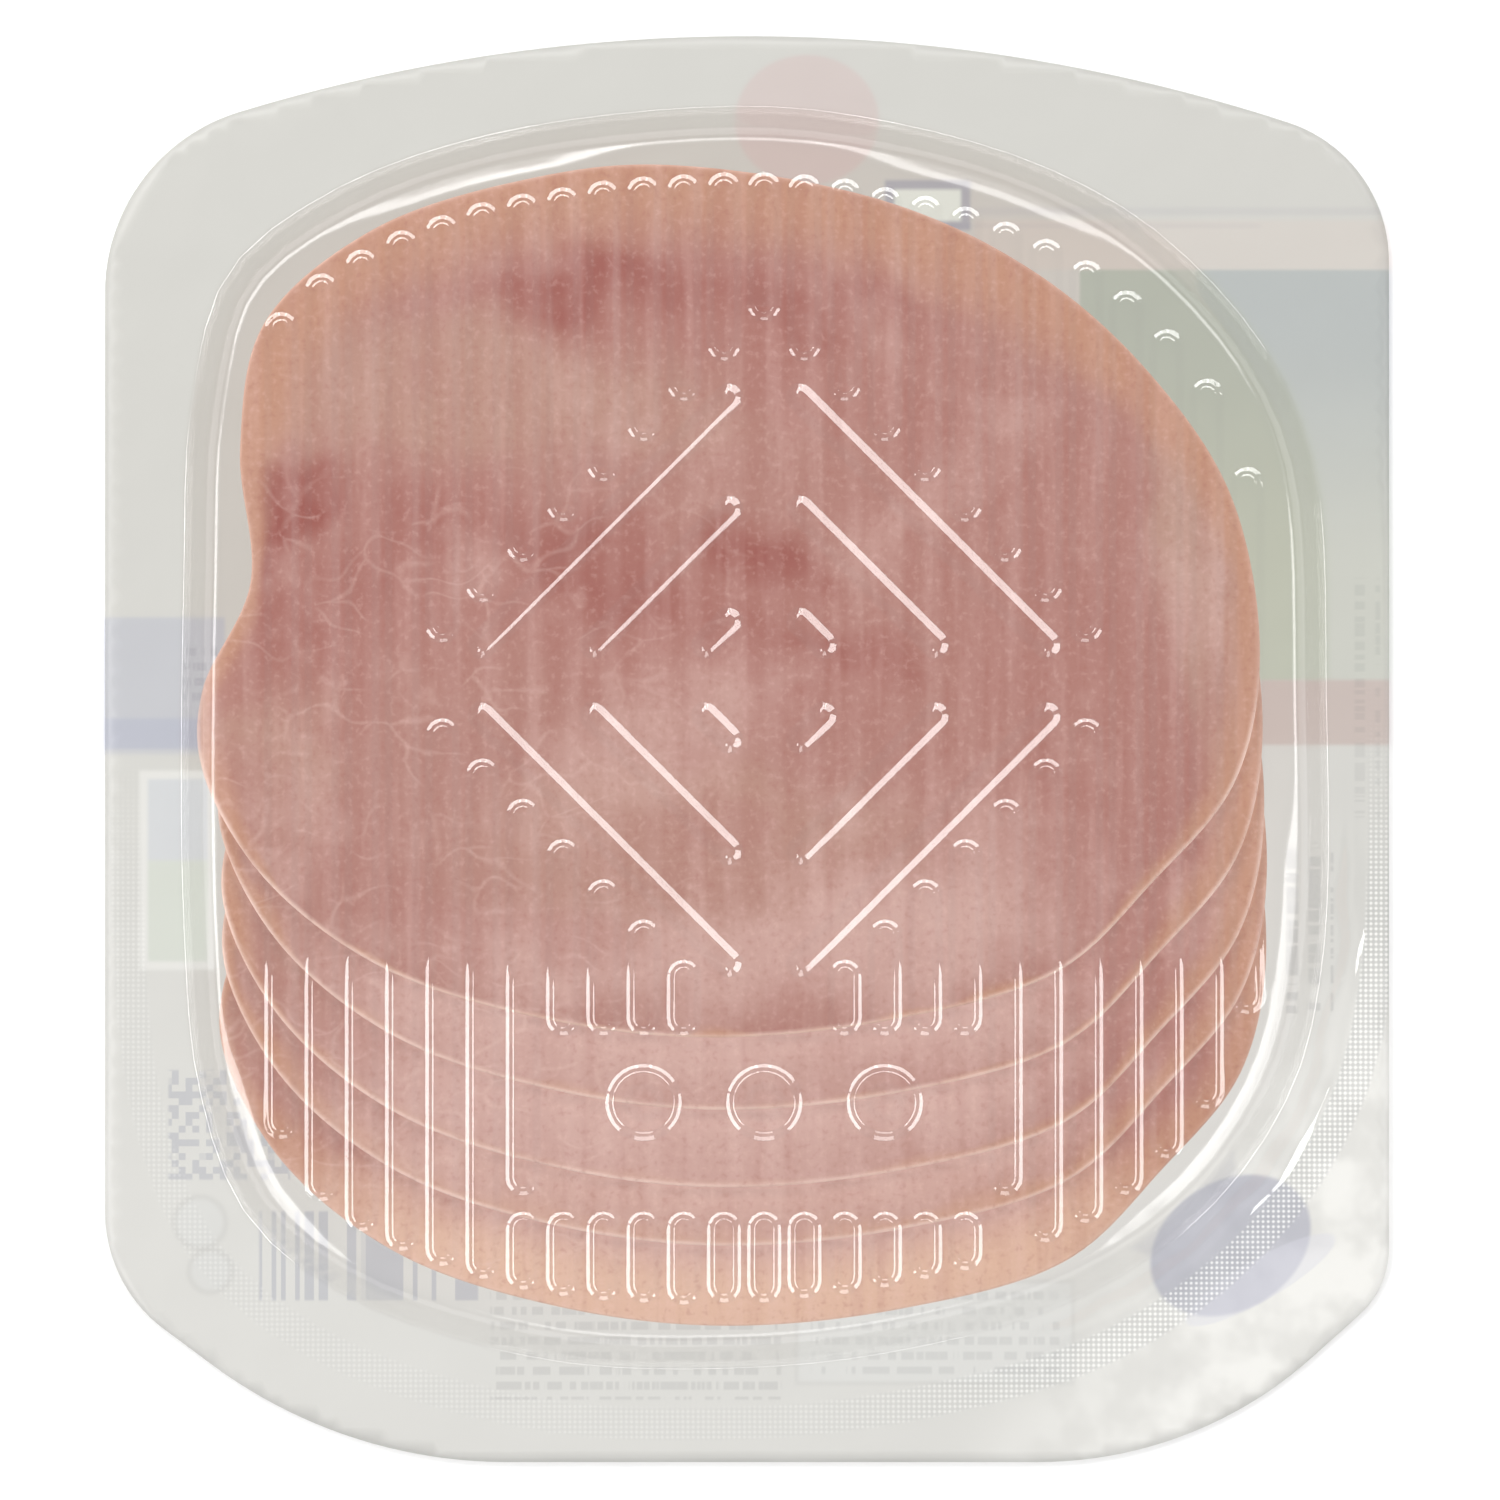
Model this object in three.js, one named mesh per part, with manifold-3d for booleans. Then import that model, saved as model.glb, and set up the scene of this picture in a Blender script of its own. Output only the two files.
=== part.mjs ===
// Sealed retail pack of sliced cooked ham, in millimetres, +Z up.
// It lies on its printed lid film with the floor of the clear tray upward.
// X runs across the pack, Y from its bottom edge to its top edge, and the origin is
// the middle of the pack's footprint, on the surface that the lid film lies on.
import * as THREE from 'three';
import { mergeVertices } from 'three/addons/utils/BufferGeometryUtils.js';
import ManifoldModule from 'manifold-3d';

const manifold = await ManifoldModule();
manifold.setup();

// ---- driving dimensions -------------------------------------------------------------

const PACK_WIDTH = 150;
const PACK_LENGTH = 166.6;
const LID_THICKNESS = 0.25;
const SHEET = 0.35;               // thickness of the formed tray sheet
const TRAY_HEIGHT = 12.2;         // outer face of the tray floor above the resting surface
const RIB_HEIGHT = 0.7;           // ribs of the tray floor, above its outer face

// edge of the pack: the sides are straight, the top is one long arc, the lower corners
// are cut back by a long arc that runs into a tighter one
const TOP_ARC = 203;
const TOP_CORNER = { left: 22, right: 17 };
const BOTTOM_FLAT = { left: 28, right: 34 };      // half lengths of the straight bottom edge
const BOTTOM_ARC = { left: 58, right: 48 };
const BOTTOM_ARC_TURN = { left: 36.6, right: 42 };
const BOTTOM_CORNER = { left: 17, right: 10.5 };

// mouth of the tray, the line where its wall meets the flange, clockwise from the top
const MOUTH = [
  [0, 75.2], [18, 73.1], [35, 68], [48, 60.5], [60.5, 47], [66.3, 33.5], [67.8, 5],
  [67.4, -24], [63.8, -39.5], [54.3, -53.5], [39.3, -64.1], [18, -70.3], [-2, -72.4],
  [-24, -71.3], [-46.7, -64.1], [-58.5, -54.5], [-64, -40], [-65.9, -20], [-65.9, 20],
  [-65, 40], [-60.8, 55.5], [-49, 65], [-30, 71.9],
];
const MOUTH_STEPS = 60;

// section of the wall: distance inside the mouth line and height above the flange
const WALL = [
  [0, 0], [0.5, 0.5], [1.2, 3.4], [2.2, 7.4], [3.2, 9.5], [4.4, 10.7], [5.8, 11.3], [7.4, 11.6],
];

// relief of the floor: flutes along Y, a diamond of ribs in the middle, a row of bosses
const FLUTE_PITCH = 4.67;
const FLUTE_WIDTH = 3.6;
const FLUTES_EACH_SIDE = 12;
const RELIEF_CENTRE_X = 2;
const FLUTE_MARGIN = 8.4;         // flutes end this far inside the mouth line
const DIAMOND_CENTRE_Y = 8;
const DIAMOND_HALF_DIAGONALS = [37, 24, 11];
const DIAMOND_CORNER_GAP = 4.5;   // at each end of a diamond's side
const DIAMOND_MARGIN = 5;
const RIB_WIDTH = 2.8;
const BOSS_ROW = { y: -41, radius: 4.3, spacing: 14.01, eachSide: 1, halfWidth: 24, halfHeight: 8 };
const BOTTOM_ROW = { top: -53.9, eachSide: 6 };
const SHORTEST_FLUTE = 6;

// ham: one outline, repeated down the pack as a fan, nearest the tray floor first
const SLICE_THICKNESS = 1.7;
const SLICE_GAP = 0.3;
const SLICE_OUTLINE = [
  [-9.6, 67.9], [16.6, 63.5], [34.1, 55], [47.2, 43.2], [56.3, 29.3], [59.6, 10.4],
  [56.6, -4], [47.2, -15.4], [36.2, -25.8], [16.6, -31.5], [-5.1, -33.5], [-24.8, -31.1],
  [-43.1, -25], [-56.7, -14.3], [-63.7, -1.2], [-63.4, 6.7], [-57.7, 19.2], [-58.9, 34.9],
  [-56.2, 49.3], [-43.6, 60.3], [-24.8, 66.4],
];
const SLICE_STEPS = 40;
const SLICES = [
  { down: 0, right: 0, width: 1 },
  { down: 8.4, right: 1.4, width: 0.982 },
  { down: 17.4, right: 1.7, width: 0.98 },
  { down: 24.2, right: 1.9, width: 0.982 },
  { down: 33.5, right: 1.7, width: 0.984 },
];
const DRAPE_SHELF = 6;            // a slice stays low this far past the edge of the one above it
const DRAPE_REACH = 8;            // and climbs back to the floor over this distance
const DRAPE_GRID = 9;

// how finely the shapes are faceted and measured
const ARC_SEGMENTS = 5;           // of each arc of the pack's edge
const ROUND_END_SEGMENTS = 2;     // of each round end of a rib
const FLOOR_STEP = 0.25;          // at which the ends of the floor are looked for
const WELD = 1e-4;                // corners this close are one corner
const SHORTEST_SIDE = 0.01;       // half the straight side that is left on a disc

const flangeBottom = LID_THICKNESS;
const flangeTop = LID_THICKNESS + SHEET;
const floorInside = TRAY_HEIGHT - SHEET;

// ---- outlines -----------------------------------------------------------------------

// Centre of a corner arc that touches a vertical side, and that a straight stretch at
// `turn` degrees joins to the long bottom arc
function lowerCorner(side, sign) {
  const long = BOTTOM_ARC[side];
  const small = BOTTOM_CORNER[side];
  const turn = THREE.MathUtils.degToRad(BOTTOM_ARC_TURN[side]);
  const longX = BOTTOM_FLAT[side];
  const longY = long - PACK_LENGTH / 2;
  const smallX = PACK_WIDTH / 2 - small;
  const smallY = longY - (long - small - (smallX - longX) * Math.sin(turn)) / Math.cos(turn);
  return { long, small, turn, longX: sign * longX, longY, smallX: sign * smallX, smallY };
}

// Centre of an upper corner arc, which touches the side and the long top arc
function upperCorner(side, sign) {
  const radius = TOP_CORNER[side];
  const x = PACK_WIDTH / 2 - radius;
  const arcCentreY = PACK_LENGTH / 2 - TOP_ARC;
  const y = arcCentreY + Math.sqrt((TOP_ARC - radius) ** 2 - x ** 2);
  return { radius, x: sign * x, y, angle: Math.atan2(y - arcCentreY, x) };
}

function packOutline() {
  const right = lowerCorner('right', 1);
  const left = lowerCorner('left', -1);
  const topRight = upperCorner('right', 1);
  const topLeft = upperCorner('left', -1);
  const down = -Math.PI / 2;
  const shape = new THREE.Shape();
  shape.moveTo(left.longX, -PACK_LENGTH / 2);
  shape.lineTo(right.longX, -PACK_LENGTH / 2);
  shape.absarc(right.longX, right.longY, right.long, down, down + right.turn, false);
  shape.absarc(right.smallX, right.smallY, right.small, down + right.turn, 0, false);
  shape.absarc(topRight.x, topRight.y, topRight.radius, 0, topRight.angle, false);
  shape.absarc(0, PACK_LENGTH / 2 - TOP_ARC, TOP_ARC, topRight.angle, Math.PI - topLeft.angle, false);
  shape.absarc(topLeft.x, topLeft.y, topLeft.radius, Math.PI - topLeft.angle, Math.PI, false);
  shape.absarc(left.smallX, left.smallY, left.small, Math.PI, Math.PI - down - left.turn, false);
  shape.absarc(left.longX, left.longY, left.long, down - left.turn, down, false);
  return shape;
}

// Smooth closed outline through a few points, counterclockwise
function smoothOutline(points, steps) {
  const curve = new THREE.CatmullRomCurve3(
    points.map(([x, y]) => new THREE.Vector3(x, y, 0)), true, 'centripetal');
  const outline = curve.getSpacedPoints(steps).slice(0, steps);
  return outline.reverse().map((p) => new THREE.Vector2(p.x, p.y));
}

// Distance from a point to a closed outline, positive inside it
function depthInside(outline, x, y) {
  let nearest = Infinity;
  let inside = false;
  outline.forEach((a, i) => {
    const b = outline[(i + 1) % outline.length];
    const along = new THREE.Vector2().subVectors(b, a);
    const toPoint = new THREE.Vector2(x - a.x, y - a.y);
    const share = THREE.MathUtils.clamp(toPoint.dot(along) / along.lengthSq(), 0, 1);
    nearest = Math.min(nearest, Math.hypot(toPoint.x - share * along.x, toPoint.y - share * along.y));
    const crosses = (a.y > y) !== (b.y > y);
    if (crosses && x < a.x + ((y - a.y) / (b.y - a.y)) * (b.x - a.x)) inside = !inside;
  });
  return inside ? nearest : -nearest;
}

// The outline moved inward along its normals
function insetOutline(outline, inset) {
  return outline.map((p, i) => {
    const before = outline[(i + outline.length - 1) % outline.length];
    const after = outline[(i + 1) % outline.length];
    const along = new THREE.Vector2().subVectors(after, before).normalize();
    return new THREE.Vector2(p.x - along.y * inset, p.y + along.x * inset);
  });
}

const mouth = smoothOutline(MOUTH, MOUTH_STEPS);

// ---- solids -------------------------------------------------------------------------

function toManifold(geometry) {
  const bare = geometry.clone();
  bare.deleteAttribute('normal');
  bare.deleteAttribute('uv');
  const merged = mergeVertices(bare, WELD);
  return new manifold.Manifold(new manifold.Mesh({
    numProp: 3,
    vertProperties: new Float32Array(merged.attributes.position.array),
    triVerts: new Uint32Array(merged.index.array),
  }));
}

function toGeometry(solid) {
  const mesh = solid.getMesh();
  const geometry = new THREE.BufferGeometry();
  geometry.setAttribute('position', new THREE.BufferAttribute(mesh.vertProperties, 3));
  geometry.setIndex(new THREE.BufferAttribute(mesh.triVerts, 1));
  geometry.computeVertexNormals();
  return geometry;
}

function meshFrom(positions, triangles) {
  const geometry = new THREE.BufferGeometry();
  geometry.setAttribute('position', new THREE.Float32BufferAttribute(positions, 3));
  geometry.setIndex(triangles);
  return geometry;
}

// Solid between level rings of equal length, given from the lowest to the highest
function loft(rings) {
  const count = rings[0].outline.length;
  const positions = rings.flatMap(({ outline, z }) => outline.flatMap((p) => [p.x, p.y, z]));
  const triangles = [];
  for (let ring = 0; ring + 1 < rings.length; ring += 1) {
    for (let i = 0; i < count; i += 1) {
      const a = ring * count + i;
      const b = ring * count + ((i + 1) % count);
      triangles.push(a, b, b + count, a, b + count, a + count);
    }
  }
  const top = (rings.length - 1) * count;
  const lowest = THREE.ShapeUtils.triangulateShape(rings[0].outline, []);
  const highest = THREE.ShapeUtils.triangulateShape(rings.at(-1).outline, []);
  lowest.forEach(([a, b, c]) => triangles.push(a, c, b));
  highest.forEach(([a, b, c]) => triangles.push(top + a, top + b, top + c));
  return meshFrom(positions, triangles);
}

function plate(shape, bottom, top, curveSegments = ARC_SEGMENTS) {
  const geometry = new THREE.ExtrudeGeometry(shape, {
    depth: top - bottom, bevelEnabled: false, curveSegments,
  });
  return geometry.translate(0, 0, bottom);
}

// Upright bar with round ends, or a disc where it is no longer than it is wide; `turn` is
// the angle of its length from the Y axis
function bar({ x, y, length, width, turn = 0 }, bottom, top) {
  const reach = Math.max((length - width) / 2, SHORTEST_SIDE);
  const shape = new THREE.Shape();
  shape.absarc(0, reach, width / 2, 0, Math.PI, false);
  shape.absarc(0, -reach, width / 2, Math.PI, 2 * Math.PI, false);
  return plate(shape, bottom, top, ROUND_END_SEGMENTS).rotateZ(turn).translate(x, y, 0);
}

// ---- tray ---------------------------------------------------------------------------

// The wall's section, moved from the outer face of the sheet to the face `depth` below it
function wallSection(depth) {
  return WALL.map(([inset, height], i) => {
    const before = WALL[Math.max(i - 1, 0)];
    const after = WALL[Math.min(i + 1, WALL.length - 1)];
    const rise = after[1] - before[1];
    const run = after[0] - before[0];
    const slope = Math.hypot(rise, run);
    return { inset: inset + (depth * rise) / slope, z: flangeTop + height - (depth * run) / slope };
  });
}

// Height of the tray's inner face at a distance inside the mouth line
function innerHeight(inset) {
  const section = wallSection(SHEET);
  if (inset <= section[0].inset) return flangeBottom;
  const next = section.findIndex((point) => point.inset > inset);
  if (next < 0) return floorInside;
  const a = section[next - 1];
  const b = section[next];
  return a.z + ((inset - a.inset) / (b.inset - a.inset)) * (b.z - a.z);
}

// Where a line along Y enters and leaves the flat part of the floor
function floorSpan(x) {
  let top = 0;
  let bottom = 0;
  while (depthInside(mouth, x, top + FLOOR_STEP) > FLUTE_MARGIN) top += FLOOR_STEP;
  while (depthInside(mouth, x, bottom - FLOOR_STEP) > FLUTE_MARGIN) bottom -= FLOOR_STEP;
  return [bottom, top];
}

function flutes() {
  const bars = [];
  const add = (x, bottom, top) => {
    if (top - bottom < SHORTEST_FLUTE) return;
    bars.push({ x, y: (top + bottom) / 2, length: top - bottom, width: FLUTE_WIDTH });
  };
  for (let k = -FLUTES_EACH_SIDE; k <= FLUTES_EACH_SIDE; k += 1) {
    const x = RELIEF_CENTRE_X + k * FLUTE_PITCH;
    const aside = Math.abs(k * FLUTE_PITCH);
    const [bottom, top] = floorSpan(x);
    const diamond = DIAMOND_HALF_DIAGONALS[0] + DIAMOND_MARGIN - aside;
    const overBosses = aside < BOSS_ROW.halfWidth;
    const inBottomRow = Math.abs(k) <= BOTTOM_ROW.eachSide;
    const foot = inBottomRow ? BOTTOM_ROW.top + FLUTE_PITCH / 2 : bottom;
    const lowerEnd = overBosses ? BOSS_ROW.y + BOSS_ROW.halfHeight : foot;
    if (diamond > 0) {
      add(x, DIAMOND_CENTRE_Y + diamond, top);
      add(x, lowerEnd, DIAMOND_CENTRE_Y - diamond);
    } else {
      add(x, lowerEnd, top);
    }
    if (inBottomRow) add(x, bottom, BOTTOM_ROW.top);
  }
  return bars;
}

function diamonds() {
  return DIAMOND_HALF_DIAGONALS.flatMap((half) => [45, 135, 225, 315].map((degrees) => {
    const turn = THREE.MathUtils.degToRad(degrees);
    const out = half / Math.SQRT2;
    return {
      x: RELIEF_CENTRE_X + out * Math.cos(turn),
      y: DIAMOND_CENTRE_Y + out * Math.sin(turn),
      length: half * Math.SQRT2 - 2 * DIAMOND_CORNER_GAP,
      width: RIB_WIDTH,
      turn,
    };
  }));
}

function bosses() {
  const row = [];
  for (let k = -BOSS_ROW.eachSide; k <= BOSS_ROW.eachSide; k += 1) {
    row.push({
      x: RELIEF_CENTRE_X + k * BOSS_ROW.spacing, y: BOSS_ROW.y,
      length: BOSS_ROW.radius * 2, width: BOSS_ROW.radius * 2,
    });
  }
  return row;
}

// Solid within the wall and floor, `depth` below their outer face, down to a given foot
function cup(depth, foot) {
  const rings = wallSection(depth).map(({ inset, z }) => ({ outline: insetOutline(mouth, inset), z }));
  rings[0].z = foot;
  rings.at(-1).z = TRAY_HEIGHT - depth;
  return toManifold(loft(rings));
}

// The ribs stand on the outer face; under them the inner face is left smooth
function trayGeometry() {
  const flange = toManifold(plate(packOutline(), flangeBottom, flangeTop));
  const ribs = [...flutes(), ...diamonds(), ...bosses()].map((rib) => (
    toManifold(bar(rib, TRAY_HEIGHT - SHEET / 2, TRAY_HEIGHT + RIB_HEIGHT))));
  const shell = flange.add(cup(0, flangeBottom + SHEET / 2));
  const outside = ribs.reduce((solid, rib) => solid.add(rib), shell);
  // the hollow is cut from below the flange, so that the tray is open there
  return toGeometry(outside.subtract(cup(SHEET, -SHEET)));
}

// ---- ham ----------------------------------------------------------------------------

const slices = SLICES.map(({ down, right, width }) => smoothOutline(
  SLICE_OUTLINE.map(([x, y]) => [x * width + right, y - down]), SLICE_STEPS));

// Upper face of a slice: it lies against the tray's floor and wall, one step lower for
// each slice above it, and climbs back to the floor past that slice's edge
function sliceTop(index, x, y) {
  const step = SLICE_THICKNESS + SLICE_GAP;
  const underTray = innerHeight(depthInside(mouth, x, y)) - SLICE_GAP;
  const covers = slices.slice(0, index).map((outline) => {
    const past = -depthInside(outline, x, y) - DRAPE_SHELF;
    const share = THREE.MathUtils.clamp(1 - past / DRAPE_REACH, 0, 1);
    return share * share * (3 - 2 * share);
  });
  return underTray - step * covers.reduce((sum, cover) => sum + cover, 0);
}

// Closed slab under sliceTop on a square grid, larger than the slice
function drapedSlab(index) {
  const columns = Math.ceil(PACK_WIDTH / DRAPE_GRID);
  const rows = Math.ceil(PACK_LENGTH / DRAPE_GRID);
  const nodes = [];
  for (let row = 0; row <= rows; row += 1) {
    for (let column = 0; column <= columns; column += 1) {
      const x = (column - columns / 2) * DRAPE_GRID;
      const y = (row - rows / 2) * DRAPE_GRID;
      nodes.push([x, y, sliceTop(index, x, y)]);
    }
  }
  const under = nodes.map(([x, y, z]) => [x, y, z - SLICE_THICKNESS]);
  const triangles = [];
  const below = nodes.length;
  const stride = columns + 1;
  for (let row = 0; row < rows; row += 1) {
    for (let column = 0; column < columns; column += 1) {
      const a = row * stride + column;
      const corners = [a, a + 1, a + stride + 1, a + stride];
      const [p, q, r, s] = corners;
      triangles.push(p, q, r, p, r, s);
      triangles.push(below + p, below + r, below + q, below + p, below + s, below + r);
    }
  }
  const wall = (a, b) => triangles.push(a, below + b, b, a, below + a, below + b);
  for (let column = 0; column < columns; column += 1) {
    wall(column, column + 1);
    wall(rows * stride + column + 1, rows * stride + column);
  }
  for (let row = 0; row < rows; row += 1) {
    wall((row + 1) * stride, row * stride);
    wall(row * stride + columns, (row + 1) * stride + columns);
  }
  return meshFrom([...nodes, ...under].flat(), triangles);
}

// The slab cut to the slice's outline, by a blank that is taller than the slab
function sliceGeometry(index) {
  const blank = toManifold(plate(new THREE.Shape(slices[index]), -TRAY_HEIGHT, 2 * TRAY_HEIGHT));
  return toGeometry(toManifold(drapedSlab(index)).intersect(blank));
}

// ---- the pack -----------------------------------------------------------------------

const clearSheet = new THREE.MeshStandardMaterial({
  color: 0xe9edeb, roughness: 0.12, metalness: 0, transparent: true, opacity: 0.3,
});
const printedFilm = new THREE.MeshStandardMaterial({ color: 0xd9d8d2, roughness: 0.45, metalness: 0 });
const ham = new THREE.MeshStandardMaterial({ color: 0xcf9389, roughness: 0.5, metalness: 0 });

const group = new THREE.Group();

function addPiece(name, geometry, material) {
  const piece = new THREE.Mesh(geometry, material);
  piece.name = name;
  group.add(piece);
}

addPiece('lid_film', plate(packOutline(), 0, LID_THICKNESS), printedFilm);
slices.forEach((_, index) => addPiece(`ham_slice_${index + 1}`, sliceGeometry(index), ham));
addPiece('tray', trayGeometry(), clearSheet);

export default group;
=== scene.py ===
# A sealed retail pack of sliced cooked ham, lying on its printed lid film with the
# floor of its clear formed tray upward, as the photograph shows it.
import math

import bpy
import numpy as np
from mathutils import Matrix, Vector, geometry, noise


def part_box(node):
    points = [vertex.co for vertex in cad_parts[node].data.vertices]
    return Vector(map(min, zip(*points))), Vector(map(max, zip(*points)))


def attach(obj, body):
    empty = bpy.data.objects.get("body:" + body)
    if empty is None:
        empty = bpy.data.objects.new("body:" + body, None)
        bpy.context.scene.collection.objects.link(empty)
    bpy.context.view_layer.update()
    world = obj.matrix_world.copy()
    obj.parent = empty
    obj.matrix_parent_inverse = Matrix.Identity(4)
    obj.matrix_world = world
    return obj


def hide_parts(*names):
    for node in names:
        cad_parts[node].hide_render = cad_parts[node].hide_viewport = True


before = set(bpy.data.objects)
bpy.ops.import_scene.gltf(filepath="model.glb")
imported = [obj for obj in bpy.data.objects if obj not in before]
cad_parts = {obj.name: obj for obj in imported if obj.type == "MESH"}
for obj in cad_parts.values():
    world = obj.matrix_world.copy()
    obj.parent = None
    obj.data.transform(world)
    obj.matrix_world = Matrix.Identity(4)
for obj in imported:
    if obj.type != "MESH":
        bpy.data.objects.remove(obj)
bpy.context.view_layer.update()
MM = 0.001

# ---- Clear tray ----------------------------------------------------------------------
# One thin clear sheet, drawn warm into a mould: a flat flange, a steep wall and a floor
# pressed full of ribs. Its flange is sealed to the lid film, and it holds the ham.

SHEET = 0.35  # thickness of the sheet at its edge, in mm
SHEET_FORMED = 0.22  # and where it is drawn
tray_low, tray_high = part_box("tray")
PACK_WIDTH = (tray_high[0] - tray_low[0]) / MM
PACK_LENGTH = (tray_high[1] - tray_low[1]) / MM
FLANGE_TOP = tray_low[2] / MM + SHEET
RIB_HEIGHT = 0.62
FLOOR_TOP = tray_high[2] / MM - 0.7

TOP_ARC = 203
TOP_CORNER = {"left": 22, "right": 17}
BOTTOM_FLAT = {"left": 28, "right": 34}
BOTTOM_ARC = {"left": 58, "right": 48}
BOTTOM_ARC_TURN = {"left": 36.6, "right": 42}
BOTTOM_CORNER = {"left": 17, "right": 10.5}

MOUTH_POINTS = [
    (0, 75.2), (18, 73.1), (35, 68), (48, 60.5), (60.5, 47), (66.3, 33.5), (67.8, 5),
    (67.4, -24), (63.8, -39.5), (54.3, -53.5), (39.3, -64.1), (18, -70.3), (-2, -72.4),
    (-24, -71.3), (-46.7, -64.1), (-58.5, -54.5), (-64, -40), (-65.9, -20), (-65.9, 20),
    (-65, 40), (-60.8, 55.5), (-49, 65), (-30, 71.9),
]
MOUTH_STEPS = 300
# section of the wall: distance inside the mouth line, and height above the flange
WALL = [
    (0, 0), (0.35, 0.25), (0.75, 1.2), (1.15, 2.9), (1.7, 5.0), (2.3, 7.6), (2.9, 9.5), (3.5, 10.5),
    (4.1, 11.05), (5.0, 11.36), (6.4, 11.53), (7.6, 11.6),
]
# the same where its shoulder is rounder, and the directions from the middle where it is
SOFT_WALL = [
    (0, 0), (0.35, 0.25), (0.75, 1.2), (1.15, 2.9), (1.7, 4.9), (2.3, 7.3), (2.9, 8.8), (3.4, 9.6),
    (4.4, 10.3), (5.4, 11.0), (6.5, 11.45), (7.6, 11.6),
]
SOFT_SIDES = [(-60, -2), (50, 84), (98, 132), (204, 236)]
SOFT_SIDE_FADE = 12  # over how many degrees one wall turns into the other
# distances inside the mouth line at which the mesh of the wall and the ridge has its rings
WALL_RINGS = [
    -4.3, -3.9, -3.5, -3.1, -2.7, -2.3, -1.9, -1.5, -1.1, -0.8, -0.45, -0.2, 0, 0.15, 0.3, 0.45, 0.6,
    0.8, 1.0, 1.2, 1.45, 1.75, 2.1, 2.5, 2.9, 3.3, 3.8, 4.3, 4.9, 5.5, 6.2, 6.9, 7.6,
]


def corner_arc(x, y, radius, start, end, steps):
    """Points of an arc, from one angle to another in degrees."""
    turns = np.radians(np.linspace(start, end, steps))
    return [(x + radius * math.cos(t), y + radius * math.sin(t)) for t in turns]


def pack_edge():
    """The die-cut edge of the pack, counterclockwise from the middle of its bottom edge."""
    half_width, half_length = PACK_WIDTH / 2, PACK_LENGTH / 2
    arc_y = half_length - TOP_ARC
    low, high = {}, {}
    for side in ("left", "right"):
        big, small, turn = BOTTOM_ARC[side], BOTTOM_CORNER[side], math.radians(BOTTOM_ARC_TURN[side])
        big_y = big - half_length
        reach = half_width - small - BOTTOM_FLAT[side]
        small_y = big_y - (big - small - reach * math.sin(turn)) / math.cos(turn)
        low[side] = (big_y, small_y)
        x = half_width - TOP_CORNER[side]
        y = arc_y + math.sqrt((TOP_ARC - TOP_CORNER[side]) ** 2 - x ** 2)
        high[side] = (x, y, math.degrees(math.atan2(y - arc_y, x)))
    edge = corner_arc(BOTTOM_FLAT["right"], low["right"][0], BOTTOM_ARC["right"],
                      -90, -90 + BOTTOM_ARC_TURN["right"], 22)
    edge += corner_arc(half_width - BOTTOM_CORNER["right"], low["right"][1], BOTTOM_CORNER["right"],
                       -90 + BOTTOM_ARC_TURN["right"], 0, 12)
    x, y, angle = high["right"]
    edge += corner_arc(x, y, TOP_CORNER["right"], 0, angle, 22)
    far_x, far_y, far_angle = high["left"]
    edge += corner_arc(0, arc_y, TOP_ARC, angle, 180 - far_angle, 60)[1:-1]
    edge += corner_arc(-far_x, far_y, TOP_CORNER["left"], 180 - far_angle, 180, 26)
    edge += corner_arc(-half_width + BOTTOM_CORNER["left"], low["left"][1], BOTTOM_CORNER["left"],
                       180, 270 - BOTTOM_ARC_TURN["left"], 16)
    edge += corner_arc(-BOTTOM_FLAT["left"], low["left"][0], BOTTOM_ARC["left"],
                       270 - BOTTOM_ARC_TURN["left"], 270, 22)
    return spread(np.array(edge), 2.0)


def spread(outline, step):
    """The outline with points added along its long straight stretches."""
    points = []
    for a, b in zip(outline, np.roll(outline, -1, axis=0)):
        parts = max(1, int(np.hypot(*(b - a)) / step))
        points += [a + (b - a) * k / parts for k in range(parts)]
    return np.array(points)


CURVE_STEPS = 40  # points of a curve between two of its corners
# the pairs of knots between which each level of the curve's pyramid blends
CURVE_SPANS = (((0, 1), (1, 2), (2, 3)), ((0, 2), (1, 3)), ((1, 2),))


def smooth_outline(corners, steps):
    """A closed centripetal Catmull-Rom curve through the corners, counterclockwise."""
    corners = np.array(corners, float)
    points = []
    for i in range(len(corners)):
        p = [corners[(i + k) % len(corners)] for k in (-1, 0, 1, 2)]
        knots = np.cumsum([0] + [math.sqrt(np.hypot(*(b - a))) for a, b in zip(p, p[1:])])
        for t in np.linspace(knots[1], knots[2], CURVE_STEPS, endpoint=False):
            row = p
            for spans in CURVE_SPANS:
                row = [((knots[end] - t) * a + (t - knots[start]) * b) / (knots[end] - knots[start])
                       for (start, end), a, b in zip(spans, row, row[1:])]
            points.append(row[0])
    points = np.array(points)
    lengths = np.hypot(*(np.roll(points, -1, axis=0) - points).T)
    along = np.concatenate([[0], np.cumsum(lengths)])
    closed = np.vstack([points, points[:1]])
    at = np.linspace(0, along[-1], steps, endpoint=False)
    even = np.column_stack([np.interp(at, along, closed[:, k]) for k in (0, 1)])
    area = np.sum(even[:, 0] * np.roll(even[:, 1], -1) - np.roll(even[:, 0], -1) * even[:, 1])
    return even if area > 0 else even[::-1]


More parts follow.
